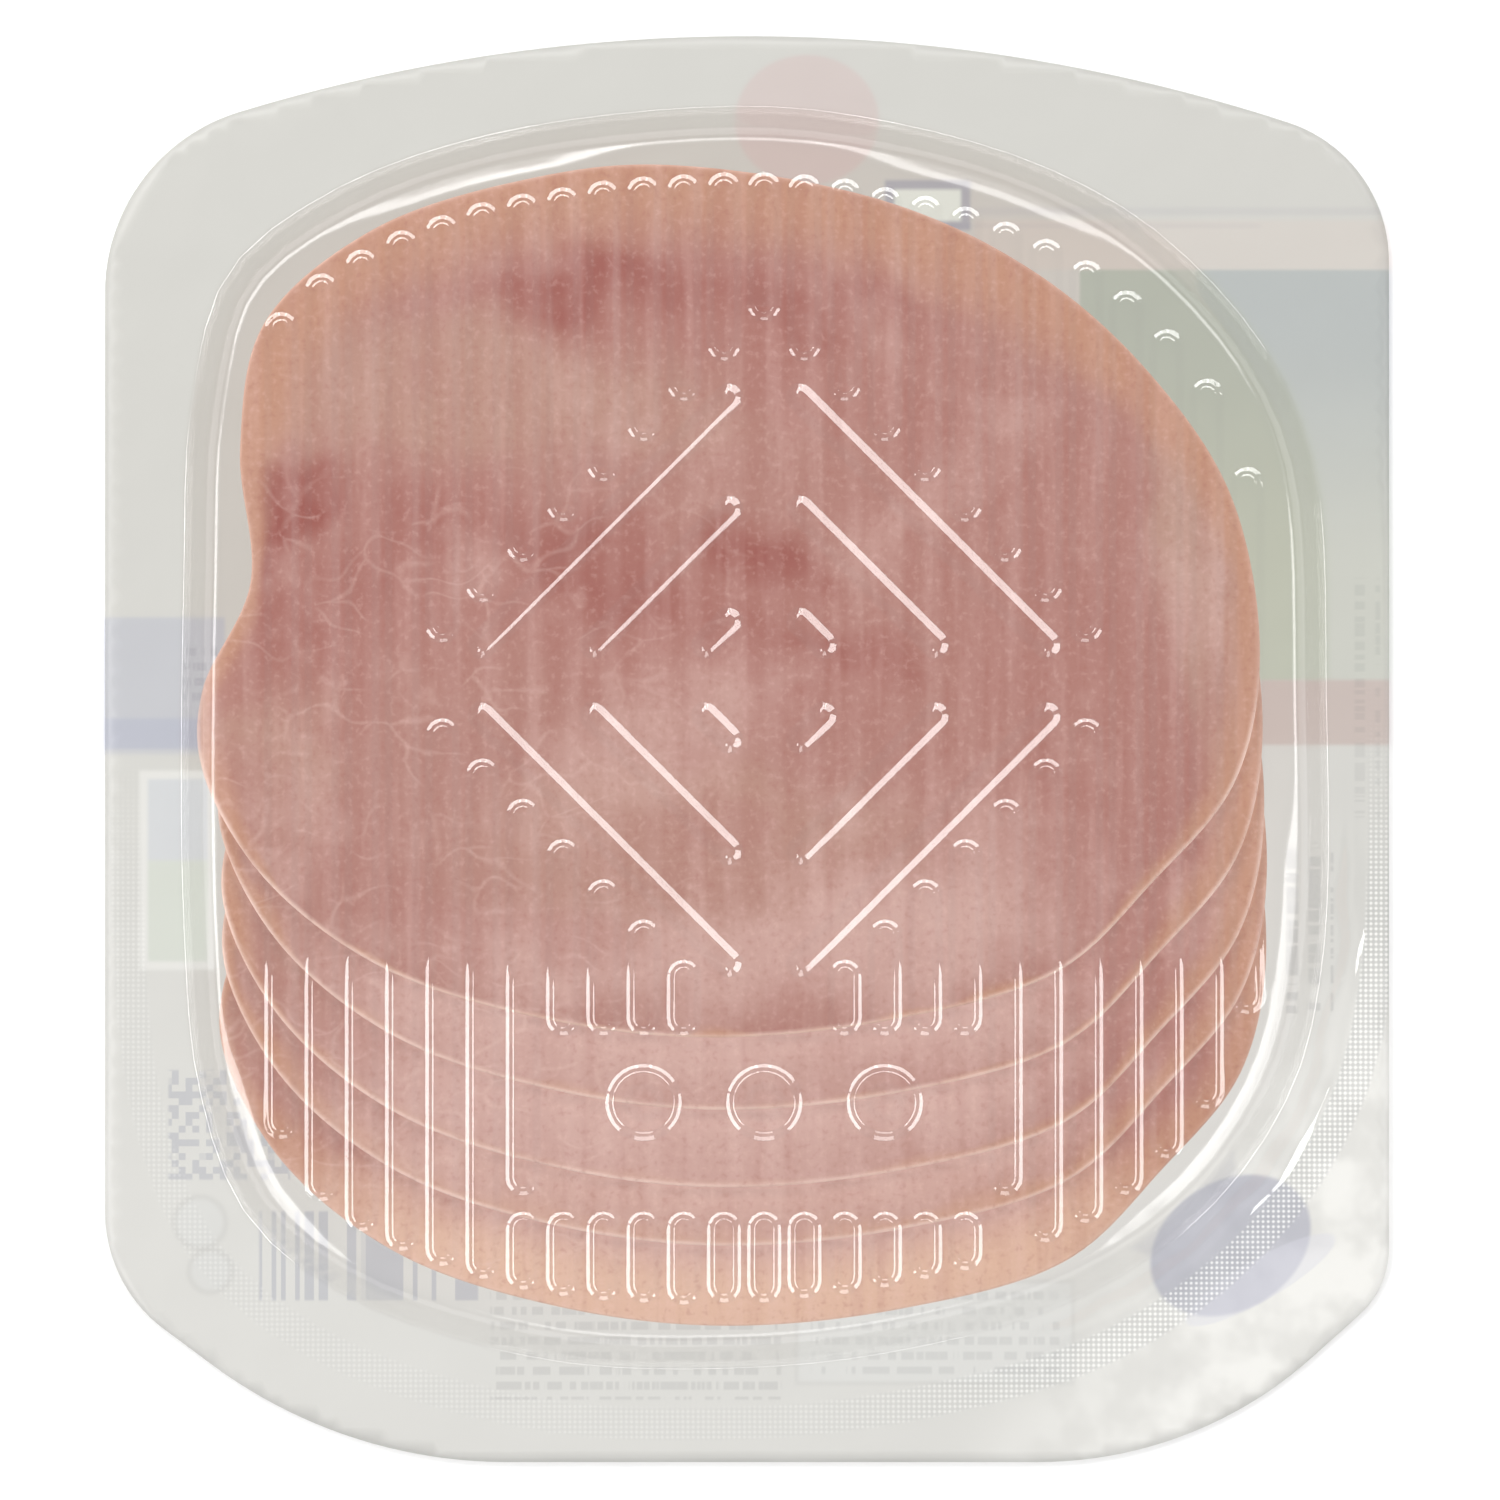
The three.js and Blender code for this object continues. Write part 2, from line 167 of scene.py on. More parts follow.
def depth_inside(outline, points):
    """Distance of each point to the outline, positive inside it."""
    points = np.asarray(points, float)
    nearest = np.full(len(points), np.inf)
    inside = np.zeros(len(points), bool)
    for a, b in zip(outline, np.roll(outline, -1, axis=0)):
        along = b - a
        to = points - a
        share = np.clip(to @ along / (along @ along), 0, 1)
        nearest = np.minimum(nearest, np.hypot(*(to - share[:, None] * along).T))
        if a[1] != b[1]:
            crosses = (a[1] > points[:, 1]) != (b[1] > points[:, 1])
            inside ^= crosses & (points[:, 0] < a[0] + (points[:, 1] - a[1]) / along[1] * along[0])
    return np.where(inside, nearest, -nearest)


def inset(outline, distance):
    """The outline moved inward along its normals."""
    along = np.roll(outline, -1, axis=0) - np.roll(outline, 1, axis=0)
    along /= np.hypot(*along.T)[:, None]
    return outline + distance * np.column_stack([-along[:, 1], along[:, 0]])


def mouth_rings(distances, margin):
    """The mouth line moved inward by each distance, where it stays inside the pack's edge."""
    rings = [inset(mouth, distance) for distance in distances]
    return [ring for ring in rings if depth_inside(edge, ring).min() > margin]


LATTICE_ROW = 0.866  # distance of its rows, in steps


def lattice(step, clear):
    """Points of a staggered lattice over the pack, where clear(points) says so."""
    rows = np.arange(-PACK_LENGTH / 2, PACK_LENGTH / 2, step * LATTICE_ROW)
    points = [(x + (k % 2) * step / 2, y) for k, y in enumerate(rows)
              for x in np.arange(-PACK_WIDTH / 2, PACK_WIDTH / 2, step)]
    points = np.array(points)
    return points[clear(points)]


def sheet_mesh(name, loops, loose, height):
    """A triangulated surface inside the first loop, with edges along every loop."""
    points, edges = [], []
    for loop in loops:
        start, count = len(points), len(loop)
        points += [Vector(p) for p in loop]
        edges += [(start + k, start + (k + 1) % count) for k in range(count)]
    points += [Vector(p) for p in loose]
    flat, _, faces, *_ = geometry.delaunay_2d_cdt(points, edges, [], 1, 1e-4, False)
    flat = np.array([tuple(p) for p in flat])
    faces = np.array(faces)
    faces = faces[depth_inside(loops[0], flat[faces].mean(axis=1)) > 0].tolist()
    place = np.column_stack([flat, height(flat)]) * MM
    mesh = bpy.data.meshes.new(name)
    mesh.from_pydata(place.tolist(), [], faces)
    piece = bpy.data.objects.new(name, mesh)
    bpy.context.collection.objects.link(piece)
    mesh.shade_smooth()
    return piece, flat


def select_only(piece):
    """Selects the piece alone and makes it the active one."""
    bpy.ops.object.select_all(action="DESELECT")
    piece.select_set(True)
    bpy.context.view_layer.objects.active = piece


def apply_modifier(piece, kind, **settings):
    """Adds a modifier to the piece and applies it."""
    select_only(piece)
    modifier = piece.modifiers.new(kind.title(), kind)
    for key, value in settings.items():
        setattr(modifier, key, value)
    bpy.ops.object.modifier_apply(modifier=modifier.name)


def waves(points, size, seed):
    """Smooth unevenness between about -1 and 1, with waves of a given size in mm."""
    return np.array([noise.noise(Vector((x / size, y / size, seed))) for x, y in points])


edge = pack_edge()
mouth = smooth_outline(MOUTH_POINTS, MOUTH_STEPS)
coarse_mouth = mouth[::3]

# Ribs of the floor, as (x1, y1, x2, y2, half width): flutes along Y that stop round a
# diamond of nested ribs, a row of round bosses and a row of short flutes at the bottom
FLUTE_PITCH = 4.67
FLUTE_HALF_WIDTH = 1.75
FLUTES_EACH_SIDE = 12
RELIEF_X = 2
FLUTE_MARGIN = 8.2
DIAMOND_Y = 8
DIAMOND_HALVES = (37, 24, 11)
DIAMOND_CORNER_GAP = 4.5
DIAMOND_MARGIN = 5
RIB_HALF_WIDTH = 1.35
BOSS_Y = -41
BOSS_RADIUS = 4.2
BOSS_SPACING = 3 * FLUTE_PITCH
BOSS_HALF_WIDTH = 24
BOSS_HALF_HEIGHT = 8
BOTTOM_ROW_TOP = -53.9
BOTTOM_ROW_EACH_SIDE = 6
SHORTEST_FLUTE = 6


def floor_span(x):
    """Where a line along Y enters and leaves the flat part of the floor."""
    ys = np.arange(-75, 75, 0.25)
    deep = depth_inside(coarse_mouth, np.column_stack([np.full(len(ys), x), ys])) > FLUTE_MARGIN
    return ys[deep].min(), ys[deep].max()


def flute_ribs():
    """The flutes along Y, each in one to three lengths."""
    ribs = []
    for k in range(-FLUTES_EACH_SIDE, FLUTES_EACH_SIDE + 1):
        x = RELIEF_X + k * FLUTE_PITCH
        aside = abs(k * FLUTE_PITCH)
        bottom, top = floor_span(x)
        in_bottom_row = abs(k) <= BOTTOM_ROW_EACH_SIDE
        foot = BOTTOM_ROW_TOP + FLUTE_PITCH / 2 if in_bottom_row else bottom
        low_end = BOSS_Y + BOSS_HALF_HEIGHT if aside < BOSS_HALF_WIDTH else foot
        diamond = DIAMOND_HALVES[0] + DIAMOND_MARGIN - aside
        if diamond > 0:
            spans = [(DIAMOND_Y + diamond, top), (low_end, DIAMOND_Y - diamond)]
        else:
            spans = [(low_end, top)]
        if in_bottom_row:
            spans.append((bottom, BOTTOM_ROW_TOP))
        ribs += [(x, low + FLUTE_HALF_WIDTH, x, high - FLUTE_HALF_WIDTH, FLUTE_HALF_WIDTH)
                 for low, high in spans if high - low > SHORTEST_FLUTE]
    return ribs


def diamond_ribs():
    """The four sides of each nested diamond, which don't meet at its corners."""
    ribs = []
    for half in DIAMOND_HALVES:
        out = half / math.sqrt(2)
        reach = out - DIAMOND_CORNER_GAP - RIB_HALF_WIDTH
        for quarter in range(4):
            turn = math.radians(45 + 90 * quarter)
            x, y = RELIEF_X + out * math.cos(turn), DIAMOND_Y + out * math.sin(turn)
            dx, dy = -math.sin(turn) * reach, math.cos(turn) * reach
            ribs.append((x - dx, y - dy, x + dx, y + dy, RIB_HALF_WIDTH))
    return ribs


# a boss is a rib of hardly any length
bosses = [(x, BOSS_Y, x, BOSS_Y + 0.01, BOSS_RADIUS)
          for x in (RELIEF_X + k * BOSS_SPACING for k in (-1, 0, 1))]
ribs = flute_ribs() + diamond_ribs() + bosses

# side of a rib, from its foot on the floor to its crest: distance gone, and slope there
RIB_SIDE = [
    (0, 0), (0.1, 0.58), (0.6, 0.7), (0.68, 0.3), (0.94, 0.3), (1.0, 0.64), (1.2, 0.64), (1.32, 0),
]
# the same for the ribs of the diamond
WIDE_SIDE = [(0, 0), (0.08, 0.58), (1.06, 0.68), (1.2, 0)]
RIB_FOOT = 0.45  # where the side starts, outside the rib's outline
GENTLE = 0.65  # how much longer the sides are that are drawn less sharp
SHARP_BELOW, SHARP_FADE = -27, 7  # all long sides above this line are drawn less sharp
INWARD_REACH, INWARD_POWER = 9, 6  # how far out, and how squarely, a side faces inward
LONG_SIDE_FROM, LONG_SIDE_EASE = 0.92, 0.08  # how squarely a long side faces to the side
LEFT_FROM, LEFT_EASE = 0.1, 0.5  # the same for the left sides of the diamond
RIB_RINGS = (0, 0.1, 0.27, 0.44, 0.6, 0.68, 0.82, 0.94, 1.0, 1.1, 1.2, 1.32, 1.7, 2.1)
FLUTE_END_STEPS, BOSS_STEPS = 9, 25  # points of a half circle
RIB_POINT_STEP = 3.2
SMALLEST_RING = 0.2
BOSS_DISH, BOSS_DISH_RADIUS, BOSS_DISH_SIDE = 0.55, 2.9, 2.2
BOSS_RINGS = (0.7, 1.2, 1.7, 2.1, 2.5, 2.9, 3.2)


def rib_ring(rib, offset):
    """The outline of a rib, moved outward by the offset, with its ends as half circles."""
    x1, y1, x2, y2, half = rib
    radius = half + RIB_FOOT - offset
    along = math.degrees(math.atan2(y2 - y1, x2 - x1))
    steps = BOSS_STEPS if half == BOSS_RADIUS else FLUTE_END_STEPS
    ring = corner_arc(x2, y2, radius, along - 90, along + 90, steps)
    ring += corner_arc(x1, y1, radius, along + 90, along + 270, steps)
    return spread(np.array(ring), RIB_POINT_STEP)


def rib_distance(points):
    """Distance of each point beyond the nearest rib's outline, negative inside a rib, how
    gently its side rises there, from 0 to 1, and whether the rib is one of the diamond."""
    nearest = np.full(len(points), 99.0)
    gentle = np.zeros(len(points))
    in_diamond = np.zeros(len(points), bool)
    high_up = smoothstep((points[:, 1] - SHARP_BELOW) / SHARP_FADE)
    for x1, y1, x2, y2, half in ribs:
        a, along = np.array((x1, y1)), np.array((x2 - x1, y2 - y1))
        share = np.clip((points - a) @ along / (along @ along), 0, 1)
        out = points - a - share[:, None] * along
        distance = np.hypot(*out.T)
        here = distance - half < nearest
        nearest = np.where(here, distance - half, nearest)
        aside = out[:, 0] / np.maximum(distance, 0.01)
        # the sides that face the middle of the pack are gentle all along
        from_middle = x1 - RELIEF_X
        inward = np.clip(-aside * np.sign(from_middle), 0, 1) * min(1, abs(from_middle) / INWARD_REACH)
        long_side = smoothstep((np.abs(aside) - LONG_SIDE_FROM) / LONG_SIDE_EASE)
        inward = np.maximum(inward ** INWARD_POWER, long_side * high_up)
        # and so are the left sides of the diamond's ribs
        leftward = smoothstep((-aside - LEFT_FROM) / LEFT_EASE) * (half == RIB_HALF_WIDTH)
        gentle = np.where(here, inward if half == FLUTE_HALF_WIDTH else leftward, gentle)
        in_diamond[here] = half == RIB_HALF_WIDTH
    return nearest, gentle, in_diamond


def smoothstep(share):
    """0 to 1 with soft ends."""
    share = np.clip(share, 0, 1)
    return share * share * (3 - 2 * share)


# soft creases of the flange: x1, y1, x2, y2, half width and height
CREASES = [
    (71, -42, 67, -58, 2.2, 0.5), (62, -66, 48, -74, 2.4, 0.5), (39, -78, 52, -72.6, 1.8, 0.45),
    (52.5, -70, 56, -75, 1.4, 0.3), (69, 66, 55, 70, 1.6, 0.25), (60, 44, 66, 52, 1.5, 0.2),
    (-66, -60, -60, -68, 1.8, 0.25), (70.5, 20, 70.5, -20, 1.2, 0.2), (16, -76, 34, -74, 1.5, 0.2),
]
# the ridge of the flange: the directions it runs between and over how many degrees it ends,
# its place, its half width and how much it wavers
RIDGE_FROM, RIDGE_TO, RIDGE_EASE, RIDGE_END = -70, -4, 14, 12
RIDGE_OUT, RIDGE_HALF_WIDTH, RIDGE_WAVER = 3.0, 2.4, 0.9
RIDGE_HEIGHT, RIDGE_UNEVEN = 0.85, 0.5
FLOOR_UNEVEN = 0.03
TRAY_CLEARANCE = 0.02  # by which the sheet stays inside its place
firm_wall, soft_wall = np.array(WALL, float).T, np.array(SOFT_WALL, float).T


def side_profile(slopes):
    """Distance gone and height reached along a rib's side, from its slopes."""
    run = np.linspace(0, slopes[-1][0], 200)
    rise = np.cumsum(np.interp(run, *np.array(slopes, float).T))
    return run, rise * RIB_HEIGHT / rise[-1]


flute_side, wide_side = side_profile(RIB_SIDE), side_profile(WIDE_SIDE)


def tray_height(points, relief=True):
    """Height of the tray's outer face in mm over each point, with its ribs or without."""
    depth = depth_inside(coarse_mouth, points)
    angle = np.degrees(np.arctan2(points[:, 1], points[:, 0]))
    soft = sum(smoothstep(((angle - a) % 360) / SOFT_SIDE_FADE)
               * smoothstep(((b - angle) % 360) / SOFT_SIDE_FADE)
               * ((angle - a) % 360 < b - a) for a, b in SOFT_SIDES)
    height = (1 - soft) * np.interp(depth, *firm_wall) + soft * np.interp(depth, *soft_wall)
    height = FLANGE_TOP + height * (FLOOR_TOP - FLANGE_TOP) / WALL[-1][1]
    # the flange stands off the lid in a ridge beside the lower right of the mouth
    ridge = smoothstep((angle - RIDGE_FROM) / RIDGE_EASE) * smoothstep((RIDGE_TO - angle) / RIDGE_END)
    ridge *= RIDGE_HEIGHT + RIDGE_UNEVEN * waves(points, 11, 4)
    off = np.abs(depth + RIDGE_OUT + RIDGE_WAVER * waves(points, 6, 8))
    height += ridge * smoothstep(1 - off / RIDGE_HALF_WIDTH)
    for x1, y1, x2, y2, width, rise in CREASES:
        a, along = np.array((x1, y1)), np.array((x2 - x1, y2 - y1))
        share = (points - a) @ along / (along @ along)
        off = np.hypot(*(points - a - np.clip(share, 0, 1)[:, None] * along).T)
        height += rise * smoothstep(1 - off / width) * (depth < 0)
    if relief:
        beyond, gentle, in_diamond = rib_distance(points)
        gone = (RIB_FOOT - beyond) / (1 + GENTLE * gentle)
        height += np.where(in_diamond, np.interp(gone, *wide_side), np.interp(gone, *flute_side))
        for x, y, *_ in bosses:
            out = np.hypot(points[:, 0] - x, points[:, 1] - y)
            height -= BOSS_DISH * smoothstep((BOSS_DISH_RADIUS - out) / BOSS_DISH_SIDE)
        height += FLOOR_UNEVEN * waves(points, 9, 3) * np.clip(depth / 6, 0, 1)
        height -= TRAY_CLEARANCE
    return height


def tray_loops():
    """The tray's edge, the rings of its wall that stay inside it, and those of its relief."""
    loops = [edge] + mouth_rings(WALL_RINGS, 0.3)
    for rib in ribs:
        loops += [rib_ring(rib, offset) for offset in RIB_RINGS
                  if offset < rib[4] + RIB_FOOT - SMALLEST_RING]
    for x, y, *_ in bosses:
        loops += [np.array(corner_arc(x, y, radius, 0, 360, 41)[:-1]) for radius in BOSS_RINGS]
    return loops


# the lattice fills what the rings leave: this far outside the mouth, inside the edge, inside
# the mouth, and from the middle of a rib's side
TRAY_LATTICE = 1.5
FLANGE_CLEAR, EDGE_CLEAR, WALL_CLEAR, RIB_CLEAR, RIB_SIDE_MIDDLE = 4.9, 0.6, 8.3, 1.15, 0.5


def tray_lattice_clear(points):
    """Where the flange and the floor have no rings of their own."""
    depth = depth_inside(coarse_mouth, points)
    on_flange = (depth < -FLANGE_CLEAR) & (depth_inside(edge, points) > EDGE_CLEAR)
    on_floor = (depth > WALL_CLEAR) & (np.abs(rib_distance(points)[0] + RIB_SIDE_MIDDLE) > RIB_CLEAR)
    return on_flange | on_floor


tray_lattice = lattice(TRAY_LATTICE, tray_lattice_clear)
tray, tray_points = sheet_mesh("formed_tray", tray_loops(), tray_lattice, tray_height)
# how far the sheet is drawn, which is most on its wall
DRAWN_EASE, DRAWN_END, DRAWN_END_EASE = 1.5, 8.5, 3
stretch = tray.data.attributes.new("stretch", "FLOAT", "POINT")
wall_depth = depth_inside(coarse_mouth, tray_points)
drawn = smoothstep(wall_depth / DRAWN_EASE) * smoothstep((DRAWN_END - wall_depth) / DRAWN_END_EASE)
stretch.data.foreach_set("value", drawn.astype(np.float32))
shine = tray.data.attributes.new("shine", "FLOAT", "POINT")
shine.data.foreach_set("value", np.ones(len(tray_points), np.float32))
apply_modifier(tray, "SOLIDIFY", thickness=SHEET_FORMED * MM, offset=-1)
# the inner face lies on the moist meat and mirrors nothing of its own, and the flat parts
# of the outer face mirror less than the drawn ones
FLAT_DULLNESS = 0.62
FLAT_FROM, FLAT_EASE = 0.94, 0.05  # how squarely a flat part faces up
SHARP_ANGLE = 60
tray_count = len(tray.data.vertices)
normals = np.zeros(3 * tray_count, np.float32)
tray.data.vertex_normals.foreach_get("vector", normals)
flat_share = smoothstep((normals[2::3] - FLAT_FROM) / FLAT_EASE)
mirrored = (np.arange(tray_count) < len(tray_points)) * (1 - FLAT_DULLNESS * flat_share)
tray.data.attributes["shine"].data.foreach_set("value", mirrored.astype(np.float32))
tray.data.set_sharp_from_angle(angle=math.radians(SHARP_ANGLE))


def material(name):
    """A new material with an empty node tree."""
    made = bpy.data.materials.new(name)
    made.use_nodes = True
    made.node_tree.nodes.clear()
    return made, made.node_tree


def node(tree, kind, links=None, **settings):
    """A node with its settings, its inputs linked from sockets or set to values."""
    made = tree.nodes.new("ShaderNode" + kind)
    for key, value in settings.items():
        setattr(made, key, value)
    for key, value in (links or {}).items():
        if isinstance(value, bpy.types.NodeSocket):
            tree.links.new(value, made.inputs[key])
        else:
            made.inputs[key].default_value = value
    return made


def maths(tree, operation, *values):
    """The result of a Math node."""
    return node(tree, "Math", dict(enumerate(values)), operation=operation).outputs[0]


def times(tree, first, second):
    """The product of two values."""
    return maths(tree, "MULTIPLY", first, second)


def object_place(tree):
    """X and Y of the surface in mm, and its whole place in mm."""
    place = node(tree, "TexCoord").outputs["Object"]
    scaled = node(tree, "VectorMath", {0: place, "Scale": 1 / MM}, operation="SCALE").outputs[0]
    split = node(tree, "SeparateXYZ", {0: scaled})
    return split.outputs[0], split.outputs[1], scaled


def noise_of(tree, links):
    """Noise over X and Y of its vector."""
    return node(tree, "TexNoise", links, noise_dimensions="2D")


def ramp(tree, value, low, high, to_low=0.0, to_high=1.0):
    """A value eased from one range to another."""
    links = {"Value": value, "From Min": low, "From Max": high, "To Min": to_low, "To Max": to_high}
    return node(tree, "MapRange", links, interpolation_type="SMOOTHSTEP").outputs[0]


def blend_colours(tree, share, first, second):
    """A mix of two colours, given as sockets or as (r, g, b)."""
    mix = node(tree, "Mix", {"Factor": share}, data_type="RGBA")
    for socket, value in ((mix.inputs[6], first), (mix.inputs[7], second)):
        if isinstance(value, bpy.types.NodeSocket):
            tree.links.new(value, socket)
        else:
            socket.default_value = (*value, 1)
    return mix.outputs[2]


def shade(red, green, blue):
    """A colour given as the eye reads it, from 0 to 255, in linear light."""
    return tuple((c / 255 / 12.92) if c < 10.3 else ((c / 255 + 0.055) / 1.055) ** 2.4
                 for c in (red, green, blue))


MIRROR_HEAD_ON, MIRROR_GRAZING = 0.088, 0.85  # share of light mirrored, and what grazing adds
SHEET_ROUGHNESS, DRAWN_ROUGHNESS = 0.05, 0.13  # of the sheet, and what drawing adds
DRAWN_DULLNESS = 0.22  # how much less it mirrors where it is drawn most
CLEAR_TINT, CLEAR_TINT_STEEP = (0.98, 0.979, 0.977), (0.92, 0.92, 0.915)


def clear_sheet(name):
    """Thin clear plastic: light passes straight through, and its outer face mirrors a little."""
    made, tree = material(name)
    facing = node(tree, "LayerWeight", {"Blend": 0.5}).outputs["Facing"]
    steepness = maths(tree, "POWER", facing, 4.0)
    mirror = maths(tree, "MULTIPLY_ADD", steepness, MIRROR_GRAZING, MIRROR_HEAD_ON)
    haze = node(tree, "Attribute", attribute_name="stretch").outputs["Fac"]
    mirror = times(tree, mirror, maths(tree, "MULTIPLY_ADD", haze, -DRAWN_DULLNESS, 1.0))
    shine = node(tree, "Attribute", attribute_name="shine").outputs["Fac"]
    mirror = times(tree, mirror, shine)
    # a steep face lets less light through
    through = blend_colours(tree, facing, CLEAR_TINT, CLEAR_TINT_STEEP)
    clear = node(tree, "BsdfTransparent", {"Color": through}).outputs[0]
    roughness = maths(tree, "MULTIPLY_ADD", haze, DRAWN_ROUGHNESS, SHEET_ROUGHNESS)
    gloss = node(tree, "BsdfGlossy", {"Color": (1, 1, 1, 1), "Roughness": roughness}).outputs[0]
    mixed = node(tree, "MixShader", {0: mirror, 1: clear, 2: gloss}).outputs[0]
    node(tree, "OutputMaterial", {"Surface": mixed})
    return made


tray.data.materials.append(clear_sheet("clear_tray_sheet"))
tray.visible_shadow = False  # so thin and clear that it casts none
tray.visible_diffuse = False
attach(tray, "root")
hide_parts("tray")

# ---- Ham slices ----------------------------------------------------------------------
# Thin slices cut from one cooked ham, so they share one outline. They are laid in the
# tray as a fan, and they follow its floor and wall. Nothing but the pack holds them.

SLICE_THICKNESS = 1.7
SLICE_GAP = 0.04
UNDER_TRAY = 0.12
SLICE_POINTS = [
    (-9.6, 67.9), (16.6, 63.5), (34.1, 55), (47.2, 43.2), (56.3, 29.3), (59.6, 10.4),
    (56.6, -4), (47.2, -15.4), (36.2, -25.8), (16.6, -31.5), (-5.1, -33.5), (-24.8, -31.1),
    (-43.1, -25), (-56.7, -14.3), (-63.7, -1.2), (-63.4, 6.7), (-57.7, 19.2), (-58.9, 34.9),
    (-56.2, 49.3), (-43.6, 60.3), (-24.8, 66.4),
]
# (down, right, width) of each slice, nearest the tray floor first
SLICES = [(0, 0, 1), (8.4, 1.4, 0.982), (17.4, 1.7, 0.98), (24.2, 1.9, 0.982), (33.5, 1.7, 0.984)]
SLICE_STEPS = 300
SLICE_EDGE_RINGS = (0.05, 0.14, 0.26, 0.4, 0.65, 1.0, 1.6, 2.4, 3.4)
SLICE_LATTICE, SLICE_EDGE_CLEAR = 1.15, 4
EDGE_THICKNESS = 0.4  # a slice is pressed thinner towards its cut edge
EDGE_REACH = 7
EDGE_ROUND = 0.25
CLIMB = 3  # where a lower slice has risen to the floor again
SLICE_UNEVEN = ((0.05, 6, 0), (0.03, 2.2, 9))  # height, size and seed of its waves
UNEVEN_ROOM = 0.08  # kept free over the slice for them

slice_outlines = [
    smooth_outline([(x * width + right, y - down) for x, y in SLICE_POINTS], SLICE_STEPS)
    for down, right, width in SLICES
]


def slice_thickness(depth):
    """Thickness of a slice at a depth inside its outline."""
    full = SLICE_THICKNESS - EDGE_THICKNESS
    return EDGE_THICKNESS + full * smoothstep(depth / EDGE_REACH)


def slice_top(index, points):
    """Height of a slice's upper face, lower under each slice above it."""
    height = tray_height(points, relief=False) - SHEET - UNDER_TRAY
    for outline in slice_outlines[:index]:
        depth = depth_inside(outline[::3], points)
        under = smoothstep(1 + np.minimum(depth - 0.1, 0) / CLIMB)
        height -= (slice_thickness(depth) + SLICE_GAP) * under
    return height


def patch(points, x, y, half_x, half_y, turn):
    """A soft oval mask over points in mm."""
    cos, sin = math.cos(math.radians(turn)), math.sin(math.radians(turn))
    dx, dy = points[:, 0] - x, points[:, 1] - y
    out = np.hypot((dx * cos + dy * sin) / half_x, (dy * cos - dx * sin) / half_y)
    return smoothstep(1.5 - out)


MEAT = {name: np.array(shade(*rgb)) for name, rgb in {
    "meat": (166, 120, 110), "rose": (162, 111, 102), "deep": (140, 71, 63),
    "pale": (196, 160, 151), "brown": (172, 132, 118), "peach": (181, 134, 110),
    "tan": (174, 138, 123), "light": (214, 177, 155), "cut_edge_highlight": (240, 212, 200),
}.items()}
# the muscles of the cut ham: colour, place, half sizes, turn in degrees, and strength
MUSCLES = [
    ("rose", -6, 53, 27, 9, -5, 0.95), ("deep", -18, 54, 11, 4.4, 4, 0.7),
    ("rose", 14, 44, 18, 7, -20, 0.6), ("deep", 5, 51, 13, 4, -6, 0.4),
    ("rose", 26, 36, 12, 8, -36, 0.5), ("rose", -48, 50, 6, 2.2, 10, 0.5),
    ("brown", -37, 41, 22, 8.5, 4, 0.95), ("brown", -14, 39, 12, 5, 8, 0.7),
    ("rose", -46, 22, 16, 13, 0, 0.85), ("rose", -22, 20, 20, 9, -24, 0.9),
    ("deep", -52, 30, 5, 4.4, 0, 0.85), ("deep", -56, 23, 3.4, 6, 0, 0.85),
    ("deep", -45, 20, 5, 4, 20, 0.25), ("deep", -37, 26, 5, 4, -10, 0.3),
    ("rose", -52, 11, 7, 8, 0, 0.7), ("deep", -52, 12, 6, 6, 0, 0.3),
    ("deep", -18, 21, 11, 5, -28, 0.55), ("deep", 1.4, 21.5, 7, 4.6, 0, 0.9),
    ("deep", -6, 15, 8, 3, -30, 0.5), ("rose", 3, 12, 11, 8, -10, 0.95),
    ("deep", 3, 11, 8, 5, -10, 0.3), ("deep", 14.8, 10, 6, 3.5, -20, 0.55),
    ("rose", 22, 22, 16, 12, -50, 0.5), ("rose", 40, 4, 13, 22, 8, 0.75),
    ("rose", 20, -3, 20, 6, -38, 0.55), ("rose", 41, 26, 12, 12, 0, 0.5),
    ("rose", -49, 4, 4, 6, 0, 0.6), ("rose", -42, -16, 18, 5, -38, 0.35),
    ("pale", -6, -22, 34, 8, 2, 0.7), ("brown", -7, -11, 22, 8, 2, 0.9),
    ("pale", 26, -19, 16, 8, 24, 0.6), ("pale", -12, 0, 16, 7, 30, 0.45),
    ("brown", -57, -2, 8, 10, -10, 0.8), ("rose", 45, -12, 12, 11, -30, 0.6),
    ("pale", 22, 30, 10, 3, 40, 0.3), ("tan", 54, 22, 5, 24, 6, 0.85),
    ("meat", -6, -13, 16, 6, 0, 0.5), ("meat", -59, -8, 6, 8, 0, 0.7),
    ("meat", 57, 12, 4, 12, 0, 0.6),
]
# waves that bend the muscles, and those of the clouds of colour: size, reach or strength, seed
BENDS = ((11, 4.5, 0), (3.5, 1.6, 1))
CLOUDS = ((15, 1, 2), (6, 0.6, 3), (2.4, 0.4, 4))
# width of the cured layer, and what its top, upper left, right and unevenness add
RIM_WIDTH, RIM_TOP, RIM_UPPER_LEFT, RIM_RIGHT, RIM_UNEVEN = 2.0, 7.0, 2.5, 1.9, 1.6
LOW_RIM = (-1.6, -1.4, -1, 0, 6.5)  # and what is added low on each slice
LOW_PALE = (0, 0.5, 0.7, 0.55, 0.5)  # how pale each slice is there
LOW_LIGHT = (0, 0, 0, 0.1, 0.8)  # and how light its cured layer
# painted highlight along each slice's cut edge, and what is added to it where the edge lies on the next
# slice
CUT_EDGE_HIGHLIGHT, CUT_EDGE_HIGHLIGHT_ON_NEXT = 0.12, 0.5
# painted shade beside the edge of the slice above: how dark it is, and how far it reaches
SLICE_SHADE, SLICE_SHADE_REACH = 0.14, 1.6


